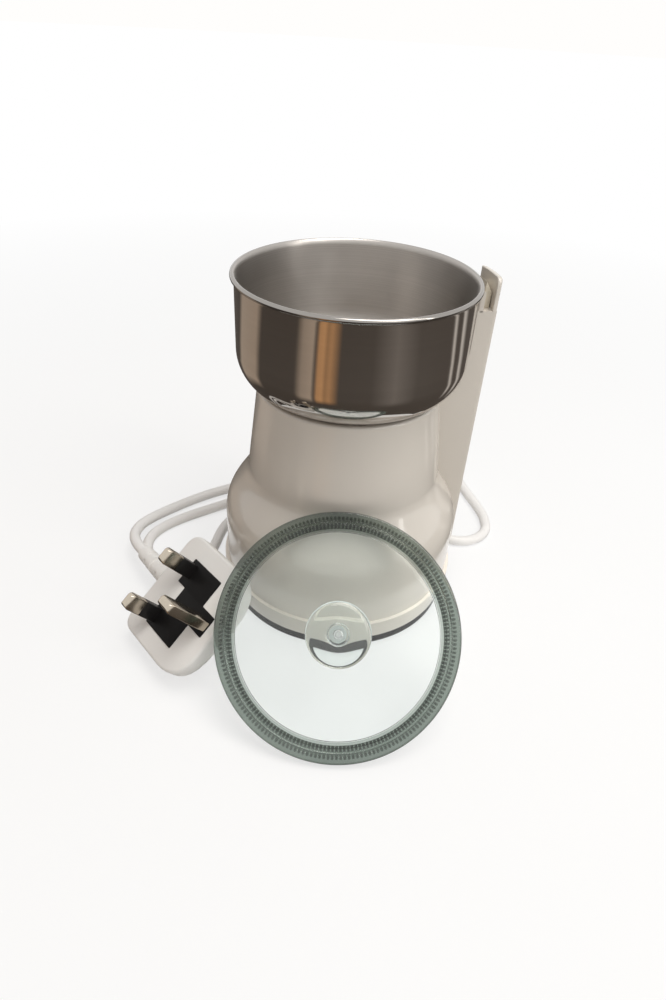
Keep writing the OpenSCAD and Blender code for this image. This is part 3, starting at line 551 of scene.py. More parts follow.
class GRINDER_OT_finishes(bpy.types.Operator):
    """Make the finishes and put them on the solids that stay in view"""

    bl_idname = "grinder.finishes"
    bl_label = "Finishes"

    def execute(self, context):
        """Each finish has a name, a colour, a roughness and the grain and depth of its bumps."""
        c = context.scene.grinder_colours
        FINISH.update(
            body=moulded("body_gloss", c.body_white, 0.17, 900, 0.00002, 0.015, 0.35),
            # lip: the body's white made 1.4 times lighter, a painted highlight along the foot's lip
            lip=moulded("body_lip", shade(c.body_white, 1.4), 0.17, 900, 0.00002, 0.015, 0.35),
            plug=moulded("plug_satin", c.plug_white, 0.36, 1400, 0.00004, 0.03),
            lead=moulded("lead_sheath", c.lead_white, 0.38, 1800, 0.00004, 0.03),
            tie=moulded("tie_paper", (0.84, 0.83, 0.80), 0.6, 2400, 0.0001, 0.05),
            rod=moulded("rod_cream", c.rod_cream, 0.4, 1500, 0.00004, 0.05),
            black=moulded("black_grain", c.black, 0.42, 2600, 0.00008, 0.25, 0.0, 0.08),
            sleeve=moulded("sleeve_black", (0.012, 0.011, 0.011), 0.3, 1800, 0.00003, 0.2, 0.0, 0.3),
            rubber=moulded("pad_rubber", (0.026, 0.025, 0.024), 0.75, 3000, 0.00012, 0.25),
            resin=moulded("holder_resin", (0.10, 0.045, 0.02), 0.45, 1500, 0.00005, 0.2),
            fan=moulded("fan_grey", (0.05, 0.055, 0.065), 0.4, 1500, 0.00005, 0.15),
            carbon=moulded("carbon_block", (0.02, 0.02, 0.022), 0.55, 3000, 0.00006, 0.3),
            red=moulded("plunger_red", (0.45, 0.03, 0.02), 0.35, 1500, 0.00003, 0.1),
            ceramic=moulded("fuse_ceramic", (0.62, 0.56, 0.45), 0.5, 1800, 0.00004, 0.08),
            polished=turned_metal("bowl_polished", c.steel, 0.07, 500, 0.000006, 0.05),
            # The satin inside and the rim are the bowl's steel made darker: painted shade. The satin's brushing is its
            # own.
            satin=turned_metal("bowl_satin_painted_shade", shade(c.steel, 0.84), 0.36, 2600, 0.00003, 0.16, 0.75),
            rim=turned_metal("bowl_rim_painted_shade", shade(c.steel, 0.62), 0.12, 900, 0.000006, 0.08),
            blade=worked_metal("blade_ground", (0.55, 0.54, 0.53), 0.28, (1, 0.15, 1), 0.000006, 0.08),
            zinc=worked_metal("screw_zinc", (0.60, 0.60, 0.60), 0.22, (1, 1, 1), 0.000004, 0.06),
            brass=turned_metal("bush_brass", (0.60, 0.43, 0.17), 0.25, 2200, 0.00002),
            pin=worked_metal("pin_plate", c.pin_metal, 0.2, (1, 1, 0.2), 0.000004, 0.06),
            alloy=worked_metal("bracket_cast", (0.46, 0.47, 0.48), 0.5, (1, 1, 1), 0.00008),
            copper=wound_copper("winding_copper", (0.55, 0.22, 0.08)),
            core=laminated("core_sheets", (0.22, 0.225, 0.235)),
            clear=clear_plastic("lid_clear", c.clear),
            # edge: the lid's edge plastic, with painted shade in its rib gaps, on its outer edge and along its groove
            edge=ribbed_plastic("lid_edge_painted_rib_shade", c.edge),
        )
        worn_by = {
            "rubber": "base_pad bracket_dampers", "black": "base_plate switch_body plug_insert",
            "zinc": "base_screws column_screws bush_nut bracket_screws stator_spacers stator_screws motor_shaft "
                    "blade_nut knob_screw", "body": "body_shell switch_column cord_gland", "polished": "bowl",
            "brass": "bearing_bush lower_bearing switch_terminals commutator", "alloy": "lower_bracket",
            "core": "stator_core rotor_core", "copper": "stator_coils rotor_windings", "resin": "brush_holders",
            "carbon": "carbon_brushes", "fan": "cooling_fan", "blade": "blade", "rod": "switch_rod",
            "red": "switch_plunger", "clear": "lid_cover lid_knob", "plug": "plug_body plug_boot",
            "pin": "live_pin neutral_pin earth_pin", "sleeve": "live_sleeve neutral_sleeve", "ceramic": "plug_fuse",
            "lead": "mains_lead", "tie": "cord_tie"}
        for finish, names in worn_by.items():
            for name in names.split():
                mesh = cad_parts[name].data
                mesh.materials.clear()
                mesh.materials.append(FINISH[finish])
        return {"FINISHED"}


def shoulder_r(z):
    """Radius of the body between drum and neck: neck + (drum - neck) (1 + cos(pi u^1.2)) / 2, u from 0 to 1."""
    s = bpy.context.scene.grinder_body
    u = clamp((z - SHOULDER_LOW) / (SHOULDER_TOP - SHOULDER_LOW)) ** 1.2
    return MM * (s.neck_r + (s.drum_r - s.neck_r) * (1 + np.cos(math.pi * u)) / 2)


class GRINDER_OT_body(bpy.types.Operator):
    """Body: one profile carried round the axis, with air slots left out at the back, thickened inwards"""

    bl_idname = "grinder.body"
    bl_label = "Body"

    def execute(self, context):
        s = context.scene.grinder_body
        foot, drum, top = s.foot_r * MM, s.drum_r * MM, s.neck_top_r * MM
        low, lip = BODY_FOOT, BODY_FOOT + 8.2
        vent_low, vent_high, vent_half = 19.2, 32.2, 1.5
        z = np.linspace(SHOULDER_LOW, SHOULDER_TOP, 40)
        profile = join([
            arc(foot - 0.5, low + 0.5, 0.5, -90, 0, 5), arc(foot - 0.3, lip - 0.3, 0.3, 0, 86, 8),
            arc(drum + 0.15, lip + 0.2, 0.15, -96, -180, 6),
            [[drum, vent_low], [drum, 25.0], [drum, vent_high], [drum, 34.5]],
            np.stack([shoulder_r(z), z], -1), [[top + 1.85, 78.5], [top + 0.1, NECK_TOP - 0.8]],
            arc(top - 1.0, 96.9, 1.3, -5, 80, 8), [[35.2, 98.2], [35.2, 97.0], [6.2, 97.0]]])
        slots = 97 + 6.5 * np.arange(s.vent_count)
        half = math.degrees(vent_half / drum)
        degrees = join([np.arange(0, 360, 1.5), slots - half, slots + half])
        points = lathe(profile, np.radians(np.unique(degrees.round(5))))
        # The rows on the foot's lip take the lighter lip finish: a painted highlight.
        lip_highlight_rows = (np.abs(profile[:-1, 1] - lip + 0.05) < 0.15).astype(int)
        piece = make_piece("body_shell", "white_plastic", "body lip", poled(points, lip_highlight_rows), name="body_skin",
                           outward=False)
        mesh = piece.data
        centre = np.zeros(len(mesh.polygons) * 3)
        mesh.polygons.foreach_get("center", centre)
        x, y, h = centre.reshape(-1, 3).T * MM
        turn = np.degrees(np.arctan2(y, x))
        in_slot = (np.abs(turn[:, None] - slots[None]) < half).any(1)
        in_slot &= (h > vent_low) & (h < vent_high) & (np.hypot(x, y) > drum - 1.2)
        work = bmesh.new()
        work.from_mesh(mesh)
        work.faces.ensure_lookup_table()
        bmesh.ops.delete(work, geom=[work.faces[k] for k in np.nonzero(in_slot)[0]], context="FACES")
        work.to_mesh(mesh)
        work.free()
        wall = piece.modifiers.new("wall", "SOLIDIFY")
        wall.thickness, wall.offset = s.shell, -1.0
        return {"FINISHED"}


class GRINDER_OT_column(bpy.types.Operator):
    """Switch column: a curved bar whose inner side follows body and bowl, with an open channel at its top"""

    bl_idname = "grinder.column"
    bl_label = "Switch Column"

    def execute(self, context):
        s = context.scene.grinder_body
        out, top, low = s.column_r * MM, COLUMN_TOP, COLUMN_FOOT
        front, back = 6.0, 23.0  # its sides, in degrees round the axis
        slot_low, inner_top = top - 12.5, top - 5.0  # the channel's floor, and the top of its inner walls
        slot_in, slot_out, slot_end = 49.3, 53.1, 21.0  # the channel's radii and its closed end
        near, wall, edge = 47.2, 53.2, 1.9  # inner side; radius and degrees where the outer edges turn
        hollow_r, hollow_x, hollow_z = 18.6, 28.6, 113.0  # the hollow that clears the bowl's corner
        z = join([low + np.array([0, 0.15, 0.5, 1.0]), [24], np.linspace(SHOULDER_LOW, SHOULDER_TOP, 24),
                  [80, NECK_TOP - 0.1], hollow_z - hollow_r * np.sin(sweep(56, 0, 16)),
                  [120, slot_low - 0.3, slot_low]])
        share = clamp((z - SHOULDER_TOP) / (NECK_TOP - SHOULDER_TOP))
        neck = MM * (s.neck_r + (s.neck_top_r - s.neck_r) * share)
        hollow = hollow_x + np.sqrt(hollow_r ** 2 - np.clip(hollow_z - z, 0, hollow_r) ** 2)
        inner = np.where(z < SHOULDER_TOP, shoulder_r(z), neck) - 0.25
        inner = np.where(z < NECK_TOP, inner, hollow)
        turn = sweep(front, back, 12)
        ray = np.stack([np.cos(turn), np.sin(turn)], -1)
        outline = join([np.broadcast_to(out * ray, (len(z), 12, 2)), inner[:, None, None] * ray[::-1]], 1)
        cuts = np.zeros(24)
        cuts[[0, 11]] = 1.8
        take = np.interp(z - low, [0, 0.15, 0.5, 1.0], [0.8, 0.4, 0.1, 0])
        bar = inset(soften(outline, cuts), take[:, None, None])
        counts = (6, 10, 6, 4, 6, 10, 4)
        outside = bends([(wall, front), (out, front), (out, front + edge), (out, 14), (out, back - edge), (out, back),
                         (wall, back), (50, back), (48, back), (near, back), (near, 22.2), (near, 14), (near, 7),
                         (near, front), (48, front)], counts)
        inside = bends([(slot_out, front), (slot_out, 6.5), (slot_out, 7), (slot_out, 14), (slot_out, 20.6),
                        (slot_out, slot_end), (52.7, slot_end), (51, slot_end), (49.7, slot_end), (slot_in, slot_end),
                        (slot_in, 20.6), (slot_in, 14), (slot_in, 7), (slot_in, 6.5), (slot_in, front)], counts)
        share = np.array([0, 0, 0.03, 0.12, 0.28, 0.5, 0.72, 0.88, 0.97, 1, 1])[:, None]
        rise = join([[slot_low - 0.5], inner_top - np.array([0.9, 0.5, 0.2, 0.03, 0])])
        place = outside[:, None] * (1 - share) + inside[:, None] * share
        channel = round_z(place[..., 0], np.radians(place[..., 1]), join([rise, rise[-2::-1]]))
        corner, corner_r = 2.8, 54.0  # the upper wall's round front corner, and the radius it is measured at
        start = front + np.degrees(corner * (1 - np.cos(sweep(0, 90, 14))) / corner_r)
        turn = join([start, np.linspace(10, back - edge, 10), back - edge * np.linspace(0.9, 0, 8) ** 2])
        drawn = 1 - np.sqrt(clamp(np.minimum(turn - front, back - turn) / edge))
        face = out + 0.01 - (out - wall) * drawn ** 2
        short = np.maximum(corner - np.radians(turn - front) * corner_r, 0)
        crown = top - corner + np.sqrt(corner ** 2 - short ** 2)
        rear, foot = np.full_like(face, slot_out - 0.02), np.full_like(face, inner_top - 2.0)
        section = np.stack([rear, foot, face, foot, face, crown, rear, crown], -1).reshape(-1, 4, 2)
        section = soften(section, [0, 0, 0.8, 0.5])
        upper = round_z(section[..., 0], np.radians(turn)[:, None], section[..., 1])
        make_piece("switch_column", "white_plastic", "body", capped(stack(bar, z)), capped(channel), capped(upper),
                   name="column_skin", sharp=40)
        return {"FINISHED"}


class GRINDER_OT_rod(bpy.types.Operator):
    """Switch rod: a curved bar in the column's channel, its top sloped outwards, its foot reaching in to the switch"""

    bl_idname = "grinder.rod"
    bl_label = "Switch Rod"

    def execute(self, context):
        low, step, high, fall = 82.0, 86.0, 138.5, 4.5  # its foot, the foot's top, its top, and the top's slope
        near, far = 49.8, 52.6
        turn = sweep(9.6, 18.4, 10)
        ray = np.stack([np.cos(turn), np.sin(turn)], -1)
        cuts = np.zeros(20)
        cuts[[0, 9, 10, 19]] = 0.4
        edge = soften(join([far * ray, near * ray[::-1]]), cuts)
        bar = blunt(edge, [low, low + 0.3, step, step, step], [0.2, 0, 0, 0.08, 0.25])
        slope = high - fall * clamp((np.linalg.norm(bar[2:, :, :2], axis=-1) - near) / (far - near))
        bar[2:, :, 2] = slope - np.array([0.4, 0.1, 0.0])[:, None]
        shelf = soften(join([50.2 * ray, 43.4 * ray[::-1]]), cuts)
        foot = blunt(shelf, [low, low + 0.2, step - 0.2, step], [0.2, 0, 0, 0.2])
        make_piece("switch_rod", "cream_plastic", "rod", capped(bar), capped(foot), name="rod_skin",
                   body="switch_rod", sharp=40)
        return {"FINISHED"}


class GRINDER_OT_bowl(bpy.types.Operator):
    """Bowl: pressed sheet carried round the axis, with a rolled rim; polished outside and satin inside"""

    bl_idname = "grinder.bowl"
    bl_label = "Bowl"

    def execute(self, context):
        s = context.scene.grinder_body
        r, t, c, b = s.bowl_r * MM, s.bowl_t * MM, s.bowl_corner * MM, s.bead * MM
        rim, middle, floor = RIM_TOP - b, s.rim_r * MM - b, RIM_TOP - BOWL_DEPTH
        hole = 6.2  # for the bearing
        outer = join([[[hole, floor], [20, floor]], arc(r - c, floor + c, c, -90, 0, 28),
                      [[r, floor + 24], [r, rim - 2 * b]]])
        bead = arc(middle, rim, b, -98, 90, 20)
        q = sweep(7.5, 90, 12)
        roll = np.stack([middle - (middle - r + t) * np.sin(q), rim - 1.5 + (b + 1.5) * np.cos(q)], -1)
        inner = join([roll, [[r - t, floor + 24]], arc(r - c, floor + c, c - t, 0, -90, 28),
                      [[20, floor + t], [hole, floor + t]]])
        # The bead takes the rim finish and the inside the satin finish, each the steel darkened as painted shade.
        kinds = np.repeat([0, 2, 1], [len(outer), len(bead), len(inner)])
        grid = lathe(join([outer, bead, inner]), full_turn(240))
        make_piece("bowl", "bowl_steel", "polished satin rim", closed(grid, kinds))
        return {"FINISHED"}


class GRINDER_OT_blade(bpy.types.Operator):
    """Blade and its nut: a bar carried outwards both ways, its tips bent up and one edge of each arm ground thin"""

    bl_idname = "grinder.blade"
    bl_label = "Blade"

    def execute(self, context):
        span, bend_at = 32.2, 19.8
        x = np.linspace(-span, span, 81)
        far, ahead = np.abs(x), x >= 0
        past = np.maximum(far - bend_at, 0)
        rise = BLADE_LOW + np.tan(np.radians(18)) * (np.sqrt(past ** 2 + 4) - 2)
        wide = np.interp(far, [0, 6, 9, bend_at, 31, span], [7.0, 6.6, 5.0, 5.0, 4.6, 3.0])
        trim = np.interp(far, [0, 19.0, 21, span], [0, 0, 2.0, 2.0])
        low, high = np.where(ahead, -wide, trim - wide), np.where(ahead, wide - trim, wide)
        thin = np.interp(far, [0, 9, 14, span], [BLADE_THICK, BLADE_THICK, 0.5, 0.4])
        lead, back = np.where(ahead, thin, BLADE_THICK), np.where(ahead, BLADE_THICK, thin)
        ground = 3.0 * clamp(far / 14)
        mid = np.where(ahead, low + ground, high - ground)
        y = np.stack([low, high, high, mid, low], 1)
        flat = np.zeros_like(x)
        z = rise[:, None] + np.stack([flat, flat, back, flat + BLADE_THICK, lead], 1)
        arms = np.stack([np.broadcast_to(x[:, None], y.shape), y, z], -1) @ turned("Z", 25).T
        make_piece("blade", "blade_steel", "blade", capped(arms), body="rotor", sharp=20)
        a = full_turn(72)
        hexagon = 1 / np.cos((a + math.pi / 6) % (math.pi / 3) - math.pi / 6)
        h = np.array([0, 0.15, 3.4, 4.0, 4.05, 5.2, 5.8, 6.0])
        r_hex, r_round = np.array([[4.1, 4.3, 4.3, 3.9, 0, 0, 0, 0], [0, 0, 0, 0, 3.7, 3.5, 2.6, 0]])
        r = r_hex[:, None] * hexagon + r_round[:, None]
        nut = round_z(r, a, BLADE_LOW + BLADE_THICK + 0.04 + h[:, None])
        make_piece("blade_nut", "zinc_steel", "zinc", (nut, False, True, True, False, 0), body="rotor")
        return {"FINISHED"}


class GRINDER_OT_lid(bpy.types.Operator):
    """Lid: a clear disc with a raised edge, a spigot and fine ribs, its knob, and the screw that shows through it"""

    bl_idname = "grinder.lid"
    bl_label = "Lid"

    def execute(self, context):
        s = context.scene.grinder_lid
        r, pane, k = s.lid_r * MM, s.pane_r * MM, s.knob_r * MM
        edge = r - 2.3
        # Distances from the axis and heights: the upper side from the screw's hole outwards, then the under side.
        top = [[1.7, 1.0], [1.7, 3.2], [pane, 3.2], [pane + 0.9, 3.2], [pane + 1.1, 3.55], [pane + 3.0, 3.55],
               [pane + 3.2, 3.2], [pane + 3.6, 3.6], [pane + 4.0, 3.2], [edge - 0.9, 3.25], [edge - 0.4, 3.8],
               [edge + 0.1, 3.85], [edge + 0.6, 4.0]]
        under = [[r, 4.0], [r, 0.0], [42.4, 0.0], [42.4, -2.2], [40.6, -2.2], [40.6, 0.0], [pane, 0.0], [pane, 1.0]]
        cuts = [0, 0, 0, 0, 0.2, 0.2, 0, 0.25, 0, 0, 0.2, 0, 0.2, 1.1, 0.8, 0.3, 0.4, 0.4, 0.4, 0.5, 0.3]
        profile = soften(top + under, cuts)
        a = full_turn(s.rib_count * 6)
        away, high = profile.T
        upper = high > 3.0
        inner = clamp((away - pane - 0.95) / 0.2) * clamp((pane + 3.15 - away) / 0.2) * upper
        outer = clamp((away - edge + 1.0) / 0.3) * clamp((edge + 0.3 - away) / 0.3) * upper
        ribs = 0.5 + 0.5 * np.tanh(2.5 * np.cos(s.rib_count * a))
        grid = lathe(profile, a)
        grid[..., 2] -= s.rib_depth * MM * (inner + outer)[:, None] * ribs
        # Marks for the edge finish: painted shade, darkest in the gaps between the ribs, with a dark line at the outer
        # edge and another along the groove.
        rim = np.exp(-((away - r) / 0.25) ** 2)
        groove = np.exp(-((away - pane - 4.0) / 0.2) ** 2) * upper
        painted_rib_shade = np.maximum(np.maximum(outer, inner)[:, None] * (0.1 + 0.9 * ribs),
                          np.maximum(0.8 * rim, 0.6 * groove)[:, None])
        make_piece("lid_cover", "clear_plastic", "clear edge", closed(on_lid(grid), (away > pane + 0.3).astype(int)),
                   body="lid", sharp=25, marks=painted_rib_shade)
        u = np.linspace(0.9, 0, 14)
        # The knob, from the screw's hole down and out along its stem to its edge and over its crown.
        knob = join([[[0.0, 10.1], [1.45, 10.1], [1.6, 9.9], [1.6, 3.26], [3.55, 3.26], [3.55, 7.3]],
                     arc(4.25, 7.3, 0.7, 180, 92, 7), [[k - 1.0, 8.02]], arc(k - 0.9, 8.92, 0.9, -90, 0, 6),
                     arc(k - 0.9, 9.15, 0.9, 0, 70, 6), np.stack([k * u, 11.28 - 1.15 * u ** 2], -1)])
        make_piece("lid_knob", "clear_plastic", "clear", poled(on_lid(lathe(knob, full_turn(96)))), body="lid")
        a = full_turn(32)
        core, pitch, end = 1.22, 1.1, 8.65  # the screw's core radius, its thread's pitch, and where the thread ends
        h = np.linspace(1.0, end, 100)
        phase = (h[:, None] / pitch - a / (2 * math.pi)) % 1.0
        thread = core + 0.26 * (1 - np.abs(2 * phase - 1)) * clamp((h - 1.6) / 0.6)[:, None]
        slot = np.exp(-(np.minimum(np.abs(np.cos(a)), np.abs(np.sin(a))) / 0.22) ** 2)
        rad = np.array([0.0, 0.5, 1.0, 1.5, 1.9, 2.5, 2.9, 3.1, 3.1, 1.3])
        head = lathe(np.stack([rad, [-0.6, -0.6, -0.6, -0.58, -0.55, -0.45, -0.2, 0.2, 0.95, 0.95]], -1), a)
        deep = np.array([0.7, 0.7, 0.65, 0.5, 0.1, 0, 0, 0, 0, 0])
        head[..., 2] += deep[:, None] * np.where(rad[:, None] < 0.45, 1.0, slot)
        tip = lathe([[core, end], [1.0, 8.95], [0.0, 9.0]], a)
        screw = join([head, round_z(thread, a, h[:, None]), tip])
        make_piece("knob_screw", "zinc_steel", "zinc", poled(on_lid(screw)), body="lid", sharp=50)
        return {"FINISHED"}


def boot(long, thin, thick, a):
    """A tapered boot along Z: radius from thin to thick, less a groove at each of four stations on opposite sides."""
    h = np.linspace(0, long, 90)
    r = thin + (thick - thin) * (h / long) ** 0.85
    cut = np.zeros((len(h), len(a)))
    for n, at in enumerate((0.2, 0.38, 0.56, 0.74)):
        side = clamp(np.abs(np.cos(a + n % 2 * math.pi / 2)) * 4 - 1.4)
        cut += np.exp(-((h - at * long) / 0.75) ** 4)[:, None] * side
    return round_z(r[:, None] - 0.75 * (r - 0.7 * thin)[:, None] * cut, a, h[:, None])


def lead_line():
    """The middle line of the lead: a spline along its route, kept inside the box of its solid."""
    r = bpy.context.scene.grinder_lead.lead_d / 2 * MM
    low, high = (np.array(corner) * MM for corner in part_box("mains_lead"))
    return np.clip(spline(LEAD, 12), low + r, high - r)


class GRINDER_OT_lead(bpy.types.Operator):
    """Mains lead, its gland and its tie: a round sheath along its route, a tapered boot, and a twisted paper band"""

    bl_idname = "grinder.lead"
    bl_label = "Mains Lead"

    def execute(self, context):
        s = context.scene.grinder_lead
        r = s.lead_d / 2 * MM
        make_piece("mains_lead", "flex", "lead", capped(tube(lead_line(), r - 0.01, 20)), name="lead_sheath")
        a = full_turn(48)
        thin, thick, wall = r + s.boot_wall * MM, 5.6, 53.2  # the boot's radii, and where it leaves the body
        gland_end = float(np.hypot(*LEAD[0][:2]))
        sleeve = boot(gland_end - wall, thin, thick, a)[::-1]
        sleeve[..., 2] = gland_end - sleeve[..., 2]
        collar = lathe([[0, 46.4], [6.6, 46.4], [6.6, 47.9], [5.0, 47.9], [5.0, 52.7], [thick, 52.75]], a)
        end = lathe([[thin - 0.4, gland_end], [0.0, gland_end]], a)
        make_piece("cord_gland", "white_plastic", "plug", poled(on_gland(join([collar, sleeve, end]))),
                   name="gland_skin")
        turn = turned("Z", 127)
        start, stop, mid = 58.5, 76.6, 3.65  # the tie's two ends from the axis, and its height
        radial = join([arc(0, 0, 1, -90, 90, 20), arc(0, 0, 1, 90, 270, 20)])
        centre = np.repeat([[stop, mid], [start, mid]], 20, 0)
        section = soften([[2.82, -2.0], [2.82, 2.0], [3.38, 2.0], [3.38, -2.0]], 0.2, 4)
        flat = centre[:, None] + radial[:, None] * section[:, :1]
        band = np.stack([flat[..., 0], np.broadcast_to(section[:, 1], flat.shape[:2]), flat[..., 1]], -1)
        along = np.array([0.955, 0.238, 0.174])
        along /= np.linalg.norm(along)
        side = np.cross([0, 0, 1.0], along)
        side /= np.linalg.norm(side)
        up = np.cross(along, side)
        h = np.linspace(-0.2, 10.8, 60)[:, None]
        spin, wide, high = 0.9 * h, 0.86 * np.cos(a), 0.34 * np.sin(a)
        p, q = wide * np.cos(spin) - high * np.sin(spin), wide * np.sin(spin) + high * np.cos(spin)
        tail = np.array([stop + 3.1, 0, mid]) + h[..., None] * along + p[..., None] * side + q[..., None] * up
        make_piece("cord_tie", "tie_paper", "tie", closed(band @ turn.T), capped(tail @ turn.T), name="tie_band",
                   sharp=45)
        return {"FINISHED"}


def slab(half, low, high, near, far):
    """Outline of a plug slab: a rectangle with one cut at its lead end and another at its earth end."""
    return soften([[half, low], [half, high], [-half, high], [-half, low]], [near, far, far, near], 9)


def bar_rows(half_x, half_y, heights, takes):
    """A bar with rounded edges: at each height a rectangle less a depth all round."""
    corner = np.array([[1, -1], [1, 1], [-1, 1], [-1, -1]], float)
    half = np.array([half_x, half_y]) - np.array(takes)[:, None]
    return stack(soften(half[:, None] * corner, 0.4, 4), heights)


class GRINDER_OT_plug(bpy.types.Operator):
    """Plug: a moulded body that narrows to its back, a black insert, three flat pins, two sleeves and a boot"""

    bl_idname = "grinder.plug"
    bl_label = "Plug"

    def execute(self, context):
        s = context.scene.grinder_lead
        wide, low, high = 24, -13, 31  # half the plug's width, its lead end and its earth end, at its face
        pin_x, earth_y = 11.1, 22.2  # places of the pins
        deep = join([[0.0, 0.12, 0.5, 1.3], np.linspace(5.5, 14, 12), [15.4, 16.4, 16.9, 17.0]])
        narrow = clamp((deep - 5.5) / 9.0) ** 1.5
        take = np.interp(deep, [0, 0.12, 0.5, 1.3, 14, 15.4, 16.4, 16.9, 17.0],
                         [1.3, 0.75, 0.3, 0, 0, 0.6, 1.7, 3.0, 4.0])
        rows = np.stack([inset(slab(wide - 6.8 * f, low + 4 * f, high - 6.8 * f, 7, 15), t)
                         for f, t in zip(narrow, take)])
        pieces = [make_piece("plug_body", "white_plastic", "plug", capped(on_plug(stack(rows, -deep))), sharp=50)]
        shape = [[-16, -2], [-4.5, -2], [-4.5, 3.5], [4.5, 3.5], [4.5, -2], [16, -2], [16, 17.5], [4.5, 17.5],
                 [4.5, 26.5], [-4.5, 26.5], [-4.5, 17.5], [-16, 17.5]]
        insert = blunt(soften(shape, 0.5, 4), [-2.9, 0.2, 0.34, 0.4], [0, 0, 0.06, 0.2])
        pieces.append(make_piece("plug_insert", "black_plastic", "black", capped(on_plug(insert)), sharp=40))
        tip, tip_takes = np.array([-2.0, -1.0, -0.3, -0.05, 0.0]), [0, 0, 0.35, 0.75, 1.0, 1.2]
        for name, x in (("live", -pin_x), ("neutral", pin_x)):
            at = np.array([x, 0, 0])
            pin = bar_rows(3.155, 1.98, [8.5, *(17.7 + tip)], tip_takes) + at
            cover = bar_rows(3.175, 2.0, [0.3, 9.3, 9.45, 9.5], [0, 0, 0.06, 0.15]) + at
            pieces += [make_piece(name + "_pin", "brass", "pin", capped(on_plug(pin)), sharp=50),
                       make_piece(name + "_sleeve", "black_plastic", "sleeve", capped(on_plug(cover)))]
        pin = bar_rows(2.0, 4.0, [-2, *(22.7 + tip)], tip_takes) + np.array([0, earth_y, 0])
        pieces.append(make_piece("earth_pin", "brass", "pin", capped(on_plug(pin)), sharp=50))
        a = full_turn(48)
        thin, thick = s.lead_d / 2 * MM + s.boot_wall * MM, 5.1
        grown = join([lathe([[0, 0], [thin - 0.4, 0]], a), boot(31, thin, thick, a),
                      lathe([[thick, 36.5], [0, 36.5]], a)])
        laid = np.stack([grown[..., 0], grown[..., 2], -grown[..., 1]], -1) + LEAD_ENTRY
        pieces.append(make_piece("plug_boot", "white_plastic", "plug", poled(on_plug(laid))))
        line = lead_line()
        return {"FINISHED"}


def placed(right, up, back, place):
    """The matrix of an object whose axes are right, up and back."""
    m = np.eye(4)
    m[:3] = np.stack([right, up, back, place], -1)
    return Matrix(m.tolist())


